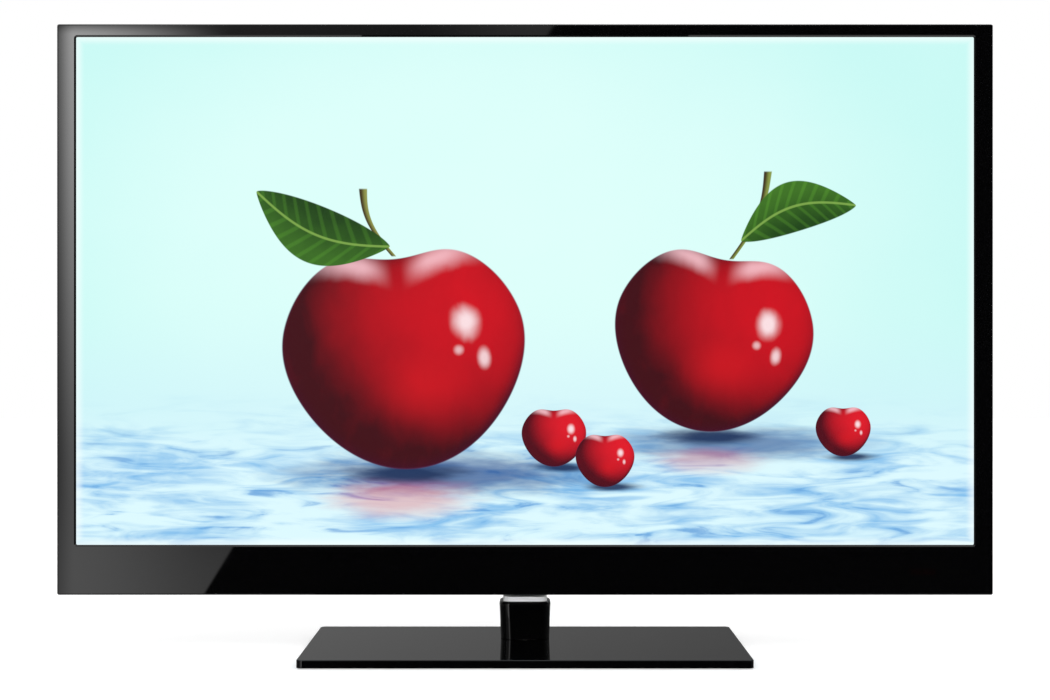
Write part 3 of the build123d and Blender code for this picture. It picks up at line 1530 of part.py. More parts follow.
# Speakers: closed boxes with an oval cone that looks back through the cover's slots
speaker_low_z = cabinet_bottom_z + bezel_side_wall + speaker_rise
speaker_centre_z = speaker_low_z + speaker_height / 2
speaker_front_y = bezel_inner_y + seat_gap
speaker_face_y = speaker_front_y + speaker_depth
with BuildPart() as speaker_boxes:
    with BuildSketch(facing(speaker_front_y)):
        with Locations((0, speaker_centre_z)):
            with GridLocations(2 * speaker_centre_x, 0, 2, 1):
                RectangleRounded(speaker_width, speaker_height, speaker_corner_radius)
    extrude(amount=-speaker_depth)
    with BuildSketch(facing(speaker_front_y + speaker_wall)):
        with Locations((0, speaker_centre_z)):
            with GridLocations(2 * speaker_centre_x, 0, 2, 1):
                Rectangle(speaker_width - 2 * speaker_wall, speaker_height - 2 * speaker_wall)
    extrude(amount=-(speaker_depth - 2 * speaker_wall), mode=Mode.SUBTRACT)
    with BuildSketch(facing(speaker_face_y)):
        with Locations((0, speaker_centre_z)):
            with GridLocations(2 * speaker_centre_x, 0, 2, 1):
                RectangleRounded(cone_width, cone_height, cone_height / 2 - slip_gap)
    extrude(amount=speaker_wall, mode=Mode.SUBTRACT)
speaker_boxes.part.label = "speaker_boxes"

with BuildPart() as speaker_cones:
    for side in (-1, 1):
        with BuildSketch(facing(speaker_face_y - cone_depth)):
            with Locations((side * speaker_centre_x, speaker_centre_z)):
                RectangleRounded(cone_width / 2, cone_height / 2, cone_height / 4 - slip_gap)
        with BuildSketch(facing(speaker_face_y)):
            with Locations((side * speaker_centre_x, speaker_centre_z)):
                RectangleRounded(
                    cone_width - 2 * slip_gap,
                    cone_height - 2 * slip_gap,
                    cone_height / 2 - 2 * slip_gap,
                )
        loft()
    with BuildSketch(facing(speaker_face_y)):
        with Locations((0, speaker_centre_z)):
            with GridLocations(2 * speaker_centre_x, 0, 2, 1):
                RectangleRounded(
                    cone_width - 2 * cone_rim,
                    cone_height - 2 * cone_rim,
                    cone_height / 2 - cone_rim - slip_gap,
                )
    extrude(amount=cone_dish, mode=Mode.SUBTRACT)
speaker_cones.part.label = "speaker_cones"

# Wire harness: inlet to power board, power board to main board, main board to each speaker
inlet_back_z = inlet_mouth_z + inlet_well_depth + inlet_pin_root
harness_radius = harness_diameter / 2


def wire(points, radius):
    """Round wire along straight runs joined by arcs."""
    with BuildPart() as lead:
        with BuildLine() as route:
            FilletPolyline(*points, radius=radius)
        with BuildSketch(Plane(origin=route.wires()[0] @ 0, z_dir=route.wires()[0] % 0)):
            Circle(harness_radius)
        sweep()
    return lead.part


harness_turn = 2 * harness_diameter
power_plug_z = power_board_low_z + harness_inset
inlet_plug_x = power_board_centre_x + power_board_width / 2 - harness_inset
inlet_lead = wire(
    [
        (mains_bay_centre_x, inlet_centre_y, inlet_back_z),
        (mains_bay_centre_x, inlet_centre_y, power_plug_z),
        (inlet_plug_x, inlet_centre_y, power_plug_z),
        (inlet_plug_x, power_face_y, power_plug_z),
    ],
    harness_turn,
)
link_z = main_board_high_z - harness_inset
main_plug_x = main_board_high_x - harness_inset
power_plug_x = power_board_centre_x - power_board_width / 2 + link_plug_inset
board_link = wire(
    [
        (main_plug_x, main_socket_y, link_z),
        (main_plug_x, main_socket_y + harness_inset, link_z),
        (power_plug_x, main_socket_y + harness_inset, link_z),
        (power_plug_x, power_face_y, link_z),
    ],
    harness_turn,
)
with BuildPart() as wire_harness:
    add(inlet_lead)
    add(board_link)
wire_harness.part.label = "wire_harness"

# Rear cover: a shallow tray with a deeper crown for the electronics and bays for the sockets
cover_width = cabinet_width - 2 * cover_inset
cover_height = cabinet_height - 2 * cover_inset


def bay_block(low_x, high_x, low_z, high_z, grow):
    """Space of a socket bay, open to the rear, larger all round by grow."""
    with BuildPart() as block:
        with BuildSketch(facing(bay_floor_y - grow)):
            with Locations(((low_x + high_x) / 2, (low_z + high_z) / 2)):
                Rectangle(high_x - low_x + 2 * grow, high_z - low_z + 2 * grow)
        extrude(amount=-(crown_y - bay_floor_y + grow + overrun))
    return block.part


bays = (
    (-bulge_root_width / 2 - overrun, side_bay_x, side_bay_low_z, side_bay_high_z),
    (signal_bay_low_x, signal_bay_high_x, bulge_bottom_z - overrun, lower_bay_z),
    (
        mains_bay_centre_x - mains_bay_width / 2,
        mains_bay_centre_x + mains_bay_width / 2,
        bulge_bottom_z - overrun,
        lower_bay_z,
    ),
)


def cover_form(inset):
    """Tray and crown, smaller all round by inset, before the bays are cut."""
    with BuildPart() as form:
        with BuildSketch(facing(seam_y)):
            with Locations((0, cabinet_centre_z)):
                RectangleRounded(cover_width - 2 * inset, cover_height - 2 * inset, cabinet_corner_radius)
        extrude(amount=-(cover_depth - inset))
        chamfer(form.faces().sort_by(Axis.Y)[-1].edges(), cover_edge_chamfer)
        with BuildSketch(facing(cover_back_y - inset)):
            with Locations((0, bulge_bottom_z + bulge_root_height / 2)):
                RectangleRounded(
                    bulge_root_width - 2 * inset,
                    bulge_root_height - 2 * inset,
                    bulge_corner_radius - inset,
                )
        with BuildSketch(facing(crown_y - inset)):
            with Locations((0, crown_bottom_z + bulge_crown_height / 2)):
                RectangleRounded(
                    bulge_crown_width - 2 * inset,
                    bulge_crown_height - 2 * inset,
                    bulge_corner_radius - inset,
                )
        loft()
        fillet(form.faces().sort_by(Axis.Y)[-1].edges(), crown_edge_radius - inset / 2)
    return form.part


cover_outside = cover_form(0)
cover_inside = cover_form(cover_wall)
with BuildPart() as cover_core:
    add(cover_inside)
    for bay in bays:
        add(bay_block(*bay, cover_wall), mode=Mode.SUBTRACT)

vent_top_z = crown_bottom_z + bulge_crown_height - vent_drop
low_vent_z = lower_bay_z + low_vent_rise
side_socket_holes = (
    (side_socket_places[0], hdmi_width, hdmi_height),
    (side_socket_places[1], hdmi_width, hdmi_height),
    (side_socket_places[2], usb_width, usb_height),
)
lower_socket_holes = (
    (signal_places[1], hdmi_width, hdmi_height),
    (signal_places[2], lan_width, lan_height),
)
with BuildPart() as rear_cover:
    add(cover_outside)
    for bay in bays:
        add(bay_block(*bay, 0), mode=Mode.SUBTRACT)
    add(cover_core.part, mode=Mode.SUBTRACT)
    with BuildSketch(facing(boss_top_y)):
        with Locations(*cover_screw_places):
            Circle(cover_boss_diameter / 2)
    extrude(amount=-cover_boss_length)
    with BuildSketch(facing(cover_back_y)):
        with Locations(*cover_screw_places):
            Circle(cover_screw_recess / 2)
    extrude(amount=cover_screw_recess_depth, mode=Mode.SUBTRACT)
    with BuildSketch(facing(cover_back_y)):
        with Locations(*cover_screw_places):
            Circle(cover_screw_hole_diameter / 2)
    extrude(amount=cover_depth, mode=Mode.SUBTRACT)
    with BuildSketch(facing(crown_y)):
        with Locations(*pillar_spots):
            Circle(pillar_diameter / 2 + slip_gap)
        with Locations(*stand_screw_spots):
            Circle(stand_access_diameter / 2)
        with Locations((0, vent_top_z)):
            with GridLocations(vent_pitch, vent_row_pitch, vent_columns, vent_rows):
                SlotOverall(vent_length, vent_width, rotation=90)
            with GridLocations(2 * outer_vent_centre_x, 0, 2, 1):
                with GridLocations(vent_pitch, vent_row_pitch, outer_vent_columns, vent_rows):
                    SlotOverall(vent_length, vent_width, rotation=90)
        for side in (-1, 1):
            with Locations((side * low_vent_centre_x, low_vent_z)):
                with GridLocations(vent_pitch, 0, low_vent_columns, 1):
                    SlotOverall(vent_length, vent_width, rotation=90)
    extrude(amount=bulge_depth / 4, mode=Mode.SUBTRACT)
    with BuildSketch(facing(cover_back_y)):
        for side in (-1, 1):
            with Locations((side * speaker_centre_x, cabinet_bottom_z + sound_slot_rise)):
                with GridLocations(sound_slot_pitch, 0, sound_slot_columns, 1):
                    SlotOverall(sound_slot_length, sound_slot_width, rotation=90)
    extrude(amount=cover_wall + slip_gap, mode=Mode.SUBTRACT)
    with BuildSketch(level(bulge_bottom_z)):
        with Locations((0, column_centre_y)):
            Rectangle(column_width + 2 * seat_gap, column_depth + 2 * seat_gap)
    extrude(amount=bulge_root_rise, both=True, mode=Mode.SUBTRACT)
    with BuildSketch(sideways(side_bay_x)):
        for z, width, height in side_socket_holes:
            with Locations((main_socket_y + height / 2, z)):
                Rectangle(height + 2 * socket_gap, width + 2 * socket_gap)
        with Locations((main_socket_y + headphone_body_height / 2, side_socket_places[3])):
            Circle(headphone_barrel_diameter / 2 + socket_gap)
    extrude(amount=cover_wall, both=True, mode=Mode.SUBTRACT)
    with BuildSketch(level(lower_bay_z)):
        for x, width, height in lower_socket_holes:
            with Locations((x, main_socket_y + height / 2)):
                Rectangle(width + 2 * socket_gap, height + 2 * socket_gap)
        with Locations((signal_places[0], main_socket_y + vga_axis_rise)):
            RectangleRounded(
                vga_shell_width + 2 * socket_gap,
                vga_shell_height + 2 * socket_gap,
                vga_shell_radius,
            )
            with GridLocations(vga_nut_pitch, 0, 2, 1):
                Circle(vga_nut_diameter / 2 + socket_gap)
        with Locations(*[(x, main_socket_y + phono_axis_rise) for x in phono_places]):
            Circle(phono_barrel_diameter / 2 + socket_gap)
        with Locations((aerial_x, main_socket_y + phono_axis_rise)):
            Circle(aerial_diameter / 2 + socket_gap)
        with Locations((mains_bay_centre_x, inlet_centre_y)):
            Rectangle(inlet_width + 2 * slip_gap, inlet_height + 2 * slip_gap)
    extrude(amount=cover_wall, both=True, mode=Mode.SUBTRACT)
    with BuildSketch(sideways(cover_side_x)):
        with Locations(*[(key_centre_y, z) for z in push_key_places]):
            Rectangle(key_width + 2 * key_slot_gap, key_length + 2 * key_slot_gap)
        with Locations(*[(key_centre_y, z) for z in rocker_places]):
            Rectangle(key_width + 2 * key_slot_gap, rocker_length + 2 * rocker_slot_gap)
    extrude(amount=cover_wall, both=True, mode=Mode.SUBTRACT)
rear_cover.part.label = "rear_cover"

cover_screw = pan_screw(cover_screw_diameter, cover_screw_length, cover_screw_head_diameter,
                        cover_screw_head_height)
cover_screw_y = cover_back_y - cover_screw_recess_depth
with BuildPart() as rear_cover_screws:
    with Locations(*[rear_spot(x, cover_screw_y, z) for x, z in cover_screw_places]):
        add(cover_screw)
rear_cover_screws.part.label = "rear_cover_screws"

pieces = (
    base_cover,
    base_weight_plate,
    base_feet,
    base_screws,
    swivel_bush,
    swivel_washer,
    swivel_retainer,
    swivel_screws,
    neck_column,
    neck_cover_front,
    neck_cover_rear,
    neck_cap,
    stand_bracket,
    stand_screws,
    front_bezel,
    ir_lens,
    ir_board,
    window_gasket,
    cell_front_frame,
    lcd_cell,
    mid_frame,
    optical_sheets,
    light_guide,
    reflector_sheet,
    led_bars,
    led_packages,
    back_plate,
    panel_clips,
    source_boards,
    flex_films,
    timing_board,
    power_board,
    power_components,
    power_heatsinks,
    main_board,
    main_heatsink,
    tuner_can,
    hdmi_sockets,
    usb_socket,
    headphone_jack,
    lan_socket,
    vga_socket,
    phono_jacks,
    mains_inlet,
    inlet_pins,
    ribbon_cable,
    chassis_screws,
    wall_mount_pillars,
    power_key,
    source_key,
    menu_key,
    channel_rocker,
    volume_rocker,
    key_board,
    key_carrier,
    speaker_boxes,
    speaker_cones,
    wire_harness,
    rear_cover,
    rear_cover_screws,
)
for piece in pieces:
    export_step(piece.part, f"parts/{piece.part.label}.step")
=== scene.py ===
import json
import math

import bmesh
import bpy
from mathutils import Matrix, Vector


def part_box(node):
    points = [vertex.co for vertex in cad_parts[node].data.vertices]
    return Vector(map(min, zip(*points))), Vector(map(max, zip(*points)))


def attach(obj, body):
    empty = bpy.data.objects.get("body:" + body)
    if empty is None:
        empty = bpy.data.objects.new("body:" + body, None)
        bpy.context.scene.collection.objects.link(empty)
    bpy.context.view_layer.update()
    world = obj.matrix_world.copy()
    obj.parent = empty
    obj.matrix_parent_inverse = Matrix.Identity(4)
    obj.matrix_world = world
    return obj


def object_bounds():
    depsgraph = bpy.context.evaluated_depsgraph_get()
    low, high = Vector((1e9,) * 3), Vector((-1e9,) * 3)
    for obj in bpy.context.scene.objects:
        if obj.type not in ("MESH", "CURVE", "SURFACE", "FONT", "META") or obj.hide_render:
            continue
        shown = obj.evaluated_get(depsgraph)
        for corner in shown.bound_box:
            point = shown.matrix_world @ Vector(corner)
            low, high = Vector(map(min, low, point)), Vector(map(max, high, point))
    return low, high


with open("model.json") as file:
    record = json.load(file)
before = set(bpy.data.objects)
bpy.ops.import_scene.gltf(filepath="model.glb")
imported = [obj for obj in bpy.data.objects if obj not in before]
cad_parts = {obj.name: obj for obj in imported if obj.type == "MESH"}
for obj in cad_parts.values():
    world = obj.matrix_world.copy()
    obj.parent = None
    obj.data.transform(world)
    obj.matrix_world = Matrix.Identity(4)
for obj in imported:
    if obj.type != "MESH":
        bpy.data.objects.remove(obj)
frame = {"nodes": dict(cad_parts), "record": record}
cad_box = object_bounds()

# Lengths are in metres. The screen faces -Y, +X is to the viewer's right and +Z is up.
part_middle = (cad_box[0] + cad_box[1]) / 2
quarter_turn = math.pi / 2

# Camera: level and square to the screen, a little under the middle of the picture
camera_y = -1.954
camera_height = 0.3082
camera_lens = 64.6
camera_shift_y = 0.0038
sensor_width = 36


def add_camera():
    data = bpy.data.cameras.new("camera")
    data.lens = camera_lens
    data.sensor_width = sensor_width
    data.shift_y = camera_shift_y
    camera = bpy.data.objects.new("camera", data)
    camera.location = (0, camera_y, camera_height)
    camera.rotation_euler = (quarter_turn, 0, 0)
    bpy.context.collection.objects.link(camera)
    bpy.context.scene.camera = camera


add_camera()


class Field:
    """Number that varies over a surface: a node's output whose operators add Math nodes."""

    def __init__(self, tree, source):
        self.tree = tree
        self.source = source

    def joined(self, operation, *others):
        node = self.tree.nodes.new("ShaderNodeMath")
        node.operation = operation
        for slot_input, value in zip(node.inputs, (self, *others)):
            source = value.source if isinstance(value, Field) else value
            if isinstance(source, (int, float)):
                slot_input.default_value = source
            else:
                self.tree.links.new(source, slot_input)
        return Field(self.tree, node.outputs[0])

    def __add__(self, other):
        return self.joined("ADD", other)

    def __sub__(self, other):
        return self.joined("SUBTRACT", other)

    def __mul__(self, other):
        return self.joined("MULTIPLY", other)

    def __truediv__(self, other):
        return self.joined("DIVIDE", other)

    def __neg__(self):
        return self.joined("MULTIPLY", -1)

    def squared(self):
        return self * self

    def root(self):
        return self.joined("MAXIMUM", 0).joined("SQRT")

    def capped(self):
        return self.joined("MAXIMUM", 0).joined("MINIMUM", 1)

    def raised(self, power):
        return self.joined("MAXIMUM", 0).joined("POWER", power)

    def larger(self, other):
        return self.joined("MAXIMUM", other)

    def smaller(self, other):
        return self.joined("MINIMUM", other)

    def size(self):
        return self.joined("ABSOLUTE")

    def sine(self):
        return self.joined("SINE")

    def step(self, low, high):
        """Smooth step: 0 at low, 1 at high."""
        node = self.tree.nodes.new("ShaderNodeMapRange")
        node.interpolation_type = "SMOOTHSTEP"
        node.inputs["From Min"].default_value = low
        node.inputs["From Max"].default_value = high
        self.tree.links.new(self.source, node.inputs["Value"])
        return Field(self.tree, node.outputs["Result"])


class Surface:
    """One material: its node tree, its Principled shader and short ways to add textures."""

    def __init__(self, name):
        self.material = bpy.data.materials.new(name)
        self.material.use_nodes = True
        self.tree = self.material.node_tree
        self.shader = self.tree.nodes["Principled BSDF"]
        self.place = self.tree.nodes.new("ShaderNodeTexCoord").outputs["Object"]

    def axes(self):
        """The x, y and z of each point of the surface."""
        node = self.tree.nodes.new("ShaderNodeSeparateXYZ")
        self.tree.links.new(self.place, node.inputs[0])
        return [Field(self.tree, output) for output in node.outputs]

    def stretched(self, scales):
        """The place of each point, scaled on each axis."""
        node = self.tree.nodes.new("ShaderNodeMapping")
        node.inputs["Scale"].default_value = scales
        self.tree.links.new(self.place, node.inputs["Vector"])
        return node.outputs[0]

    def noise(self, scale, detail, stretch=None, distortion=0):
        """Cloudy noise about a half, with this many cycles to the metre."""
        node = self.tree.nodes.new("ShaderNodeTexNoise")
        node.inputs["Scale"].default_value = scale
        node.inputs["Detail"].default_value = detail
        node.inputs["Distortion"].default_value = distortion
        source = self.stretched(stretch) if stretch else self.place
        self.tree.links.new(source, node.inputs["Vector"])
        return Field(self.tree, node.outputs["Fac"])

    def cells(self, scale):
        """Distance to the middle of the nearest of scattered cells."""
        node = self.tree.nodes.new("ShaderNodeTexVoronoi")
        node.inputs["Scale"].default_value = scale
        self.tree.links.new(self.place, node.inputs["Vector"])
        return Field(self.tree, node.outputs["Distance"])

    def blend(self, under, over, share):
        """Colour socket of under with over laid on it by share."""
        node = self.tree.nodes.new("ShaderNodeMix")
        node.data_type = "RGBA"
        for name, value in (("A", under), ("B", over)):
            socket = [s for s in node.inputs if s.name == name and s.type == "RGBA"][0]
            if isinstance(value, tuple):
                socket.default_value = (*value, 1)
            else:
                self.tree.links.new(value, socket)
        self.tree.links.new(share.source, node.inputs["Factor"])
        return [s for s in node.outputs if s.type == "RGBA"][0]

    def colour(self, dark, light, share):
        self.wired("Base Color", self.blend(dark, light, share))

    def roughness(self, low, high, share):
        self.wired("Roughness", (share * (high - low) + low).source)

    def bump(self, height, strength, distance):
        node = self.tree.nodes.new("ShaderNodeBump")
        node.inputs["Strength"].default_value = strength
        node.inputs["Distance"].default_value = distance
        self.tree.links.new(height.source, node.inputs["Height"])
        self.wired("Normal", node.outputs[0])

    def wired(self, name, source):
        self.tree.links.new(source, self.shader.inputs[name])

    def fixed(self, name, value):
        opaque = (*value, 1) if isinstance(value, tuple) else value
        self.shader.inputs[name].default_value = opaque


# Most of a noise's values lie in this band, so a step across it uses all of its contrast
noise_band = (0.3, 0.7)


def gloss_black():
    """Piano-black plastic with the faint waviness and dust of a handled set."""
    surface = Surface("gloss_black")
    dust = surface.noise(scale=900, detail=4)
    surface.colour((0.0006, 0.0006, 0.0007), (0.0018, 0.0018, 0.002), dust.step(0.35, 0.75))
    surface.roughness(0.012, 0.03, surface.noise(scale=14, detail=4).step(*noise_band))
    return surface.material


def textured_plastic(name, dark, light, grain=1600, rough=(0.5, 0.68), depth=0.00012):
    """Moulded plastic with a spark-eroded grain."""
    surface = Surface(name)
    pits = surface.cells(grain)
    drift = surface.noise(scale=9, detail=3)
    # The pits of the grain are painted darker than its ridges as painted shade; the slow drift of
    # tone across them is the plastic's own
    surface.colour(dark, light, (pits * 0.7 + drift * 0.5).step(0.2, 0.9))
    surface.roughness(*rough, surface.noise(scale=40, detail=3).step(*noise_band))
    surface.bump(pits, strength=0.35, distance=depth)
    return surface.material


def brushed_metal(name, dark, light, stretch, rough=(0.25, 0.42)):
    """Metal with fine lines along one axis."""
    surface = Surface(name)
    lines = surface.noise(scale=60, detail=4, stretch=stretch)
    drift = surface.noise(scale=12, detail=3)
    surface.fixed("Metallic", 1)
    surface.colour(dark, light, (lines * 0.7 + drift * 0.3).step(*noise_band))
    surface.roughness(*rough, lines.step(*noise_band))
    surface.bump(lines, strength=0.12, distance=0.0001)
    return surface.material


def zinc_steel():
    """Galvanised sheet with its spangle."""
    surface = Surface("zinc_steel")
    spangle = surface.cells(scale=70)
    surface.fixed("Metallic", 1)
    surface.colour((0.42, 0.43, 0.44), (0.64, 0.65, 0.65), spangle.step(0.0, 0.7))
    surface.roughness(0.3, 0.5, surface.noise(scale=90, detail=4).step(*noise_band))
    return surface.material


def rubber(name, dark, light):
    """Matt rubber, foam or paper with fine specks."""
    surface = Surface(name)
    specks = surface.noise(scale=700, detail=5)
    surface.colour(dark, light, specks.step(0.35, 0.7))
    surface.roughness(0.75, 0.92, surface.noise(scale=120, detail=3).step(*noise_band))
    surface.bump(specks, strength=0.25, distance=0.0002)
    return surface.material


def sheet_plastic(name, dark, light, rough=(0.3, 0.5), spread=30):
    """Smooth moulded or cast plastic with a slight drift of tone."""
    surface = Surface(name)
    drift = surface.noise(scale=spread, detail=4)
    surface.colour(dark, light, drift.step(*noise_band))
    surface.roughness(*rough, surface.noise(scale=spread * 3, detail=3).step(*noise_band))
    return surface.material


def dark_lens():
    """Smoked red lens that passes infrared."""
    surface = Surface("dark_lens")
    depth = surface.noise(scale=200, detail=2)
    surface.colour((0.0012, 0.0006, 0.0006), (0.003, 0.001, 0.0012), depth.step(*noise_band))
    surface.roughness(0.04, 0.1, surface.noise(scale=60, detail=3).step(*noise_band))
    return surface.material


def circuit_board():
    """Green solder mask with copper runs and bare pads."""
    surface = Surface("board_green")
    z = surface.axes()[2]
    run_pitch, run_sway = 0.0032, 14
    sway = surface.noise(scale=45, detail=1) * run_sway
    runs = (z * (2 * math.pi / run_pitch) + sway).sine().step(0.55, 0.8)
    pads = surface.cells(scale=420).step(0.16, 0.12)
    masked = surface.blend((0.006, 0.07, 0.022), (0.012, 0.13, 0.04), runs)
    tinned = (0.62, 0.6, 0.55)
    surface.colour(masked, tinned, pads)
    surface.roughness(0.25, 0.42, surface.noise(scale=80, detail=3).step(*noise_band))
    return surface.material


# Picture on the screen, painted across u and up v from its middle
screen_low, screen_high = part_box("lcd_cell")
picture_centre = (screen_low + screen_high) / 2
picture_half_width = 0.465
picture_half_height = 0.263
picture_rim = 0.009
screen_glow = 1.0
glass_black = (0.004, 0.004, 0.005)
glass_shine = 0.08

# Sky and wet ground
horizon_v = -0.142
sky_glow_centre = (-0.05, 0.06)
sky_green, sky_pale, sky_blue = (0.56, 0.94, 0.9), (0.74, 1.0, 0.96), (0.66, 0.88, 0.98)
water_blue, water_pale, water_deep = (0.2, 0.5, 0.84), (0.72, 0.95, 1.0), (0.12, 0.33, 0.68)
rim_white = (0.93, 1.0, 0.99)

# Pools of shade and of red on the ground: middle, half width, half height, colour and strength
pools_of_shade = (
    ((-0.085, -0.19), 0.21, 0.03, (0.03, 0.1, 0.32), 0.85),
    ((0.215, -0.158), 0.17, 0.024, (0.04, 0.13, 0.36), 0.8),
    ((-0.13, -0.215), 0.1, 0.028, (0.75, 0.05, 0.07), 0.45),
    ((0.19, -0.176), 0.075, 0.018, (0.75, 0.06, 0.09), 0.35),
)
# Dark contact under each fruit: middle and half width
contacts = (
    ((-0.122, -0.189), 0.085), ((0.193, -0.151), 0.07), ((0.038, -0.183), 0.04),
    ((0.091, -0.203), 0.038), ((0.338, -0.172), 0.036),
)
contact_flatness, contact_colour, contact_strength = 0.17, (0.01, 0.03, 0.1), 0.95

# Fruit: middle, radius and tilt. Stalk: foot, top, bow, width and light tone.
# Leaf: foot, length, half width, turn, dark and light tones.
fruit_dark, fruit_red = (0.05, 0.0, 0.003), (0.66, 0.002, 0.01)
stalk_dark = (0.05, 0.03, 0.008)
far_fruit = {
    "fruit": ((0.195, -0.047), 0.105, -0.16),
    "stalk": ((0.214, 0.033), (0.252, 0.124), 0.009, 0.0026, (0.25, 0.32, 0.06)),
    "leaf": ((0.224, 0.052), 0.125, 0.026, 0.3, (0.004, 0.035, 0.003), (0.07, 0.24, 0.02)),
}
near_fruit = {
    "fruit": ((-0.125, -0.064), 0.128, 0.1),
    "stalk": ((-0.136, 0.036), (-0.168, 0.106), -0.009, 0.0027, (0.28, 0.3, 0.07)),
    "leaf": ((-0.14, 0.046), 0.15, 0.03, 2.75, (0.004, 0.03, 0.003), (0.06, 0.21, 0.018)),
}
berries = (((0.03, -0.15), 0.034), ((0.083, -0.174), 0.031), ((0.33, -0.144), 0.029))
berry_dark, berry_red = (0.08, 0.0, 0.006), (0.8, 0.008, 0.02)

# Form of a fruit, in shares of its radius: the dip at the stalk and how far the foot narrows
dip_share, dip_sharpness = 0.2, -7.0
foot_narrowing_share = 0.16
height_share = 1.12
flush_red, rim_dark, rim_violet = (0.8, 0.006, 0.012), (0.05, 0.0, 0.012), (0.16, 0.04, 0.16)
shoulder_pink, flank_pink = (1.0, 0.6, 0.66), (1.0, 0.82, 0.85)
# Shines on the flank: place along and up, half width, half height and strength
flank_shines = (
    (0.52, 0.2, 0.13, 0.17, 0.9),
    (0.64, -0.1, 0.06, 0.1, 0.75),
    (0.44, -0.02, 0.05, 0.05, 0.55),
)
vein_green = (0.24, 0.44, 0.08)
vein_count, vein_slant = 62.0, 9.0


def distance(across, up):
    """Distance of a point from the middle, from its two offsets."""
    return (across.squared() + up.squared()).root()


def fruit(surface, under, u, v, centre, radius, tilt, dark, bright):
    """One glossy heart-shaped fruit laid over the colour socket under."""
    across = (u - centre[0]) / radius
    up = (v - centre[1]) / radius
    along = across * math.cos(tilt) + up * math.sin(tilt)
    rise = up * math.cos(tilt) - across * math.sin(tilt)
    # The two shoulders beside the stalk rise above the dip between them
    dip = (along.squared() * dip_sharpness).joined("EXPONENT") * dip_share
    shoulder = rise + rise.step(0.2, 0.9) * dip
    taper = rise.step(0.3, -1.1) * foot_narrowing_share + 1.0
    reach = (along * taper).squared() + shoulder.squared() * height_share
    inside = reach.step(1.012, 0.985)
    bulge = (-reach + 1.0).root()
    flecks = surface.noise(scale=26, detail=3, stretch=(1.6, 1, 1.0), distortion=0.4) - 0.5
    # Skin: lit from the upper right, flushed at the foot, dark and violet at the rim
    lit = along * 0.42 + rise * 0.34 + bulge * 0.6
    tone = (lit.step(0.0, 0.92) * 0.95 + flecks * 0.2).capped()
    skin = surface.blend(dark, bright, tone)
    flush = ((along - 0.12).squared() + (rise + 0.3).squared() * 1.6).root().step(0.5, 0.0)
    skin = surface.blend(skin, flush_red, flush * 0.4)
    rim = bulge.step(0.5, 0.08)
    skin = surface.blend(skin, rim_dark, rim * rise.step(0.5, -0.6) * 0.85)
    skin = surface.blend(skin, rim_violet, bulge.step(0.2, 0.03) * 0.3)
    # The pale sky lies on the shoulders, and a window on the lit flank
    shine_rise = rise - (along * 2.6).sine().size() * 0.16
    shine = ((shine_rise - 0.62).size() + flecks * 0.06).step(0.16, 0.0)
    shine = shine * along.size().step(0.85, 0.35) * along.size().step(0.02, 0.28)
    skin = surface.blend(skin, shoulder_pink, shine * 0.75)
    for spot_along, spot_rise, wide, tall, strength in flank_shines:
        far = distance((along - spot_along) / wide, (rise - spot_rise) / tall)
        ragged = far + flecks * 0.6
        skin = surface.blend(skin, flank_pink, ragged.step(1.15, 0.2) * strength)
    return surface.blend(under, skin, inside)


def stalk(surface, under, u, v, foot, top, bow, width, bright):
    """Short curved stalk from foot up to top, bowed sideways and thicker at its top."""
    share = ((v - foot[1]) / (top[1] - foot[1])).capped()
    line = share * (top[0] - foot[0]) + foot[0] + (share * math.pi).sine() * bow
    thick = share * share * width * 0.8 + width
    near = ((u - line).size() / thick).step(1.0, 0.75)
    end_blur = 0.001
    above_foot = v.step(foot[1] - end_blur, foot[1] + end_blur)
    below_top = v.step(top[1] + end_blur, top[1] - end_blur)
    bark = surface.blend(stalk_dark, bright, (u - line).step(-width, width))
    return surface.blend(under, bark, near * above_foot * below_top)


def leaf(surface, under, u, v, foot, length, width, turn, dark, bright):
    """Pointed leaf with a pale midrib and side veins."""
    along = ((u - foot[0]) * math.cos(turn) + (v - foot[1]) * math.sin(turn)) / length
    across = (v - foot[1]) * math.cos(turn) - (u - foot[0]) * math.sin(turn)
    arch = (along.capped() * math.pi).sine()
    bend = across - arch * 0.018
    edge = arch.raised(0.8) * width
    inside = (bend.size() - edge).step(0.0006, -0.0006)
    inside = inside * along.step(0.0, 0.004) * along.step(1.0, 0.996)
    veins = (along * vein_count - (bend.size() / width) * vein_slant).sine().step(0.2, 0.95)
    mottle = surface.noise(scale=60, detail=3)
    tone = (veins * 0.3 + bend.step(-width, width) * 0.55 + mottle * 0.25).capped()
    blade = surface.blend(dark, bright, tone)
    blade = surface.blend(blade, vein_green, bend.size().step(0.0018, 0.0006) * 0.8)
    return surface.blend(under, blade, inside)


def shadow(surface, under, u, v, centre, half_width, half_height, colour, strength):
    """Soft pool of reflected colour on the wet ground."""
    far = distance((u - centre[0]) / half_width, (v - centre[1]) / half_height)
    ragged = far + (surface.noise(scale=38, detail=3, stretch=(0.6, 1, 3.5)) - 0.5) * 0.5
    return surface.blend(under, colour, ragged.step(1.0, 0.25) * strength)


def sky(surface, u, v):
    """Pale sky, brightest left of its middle and bluer towards the horizon."""
    glow_u, glow_v = sky_glow_centre
    glow = ((u - glow_u).squared() * 3.0 + (v - glow_v).squared() * 9.0).step(0.9, 0.0)
    mist = surface.noise(scale=5, detail=3, stretch=(1, 1, 1.6))
    field = surface.blend(sky_green, sky_pale, (glow * 0.75 + mist * 0.3).capped())
    return surface.blend(field, sky_blue, v.step(0.0, horizon_v - 0.02) * 0.6)


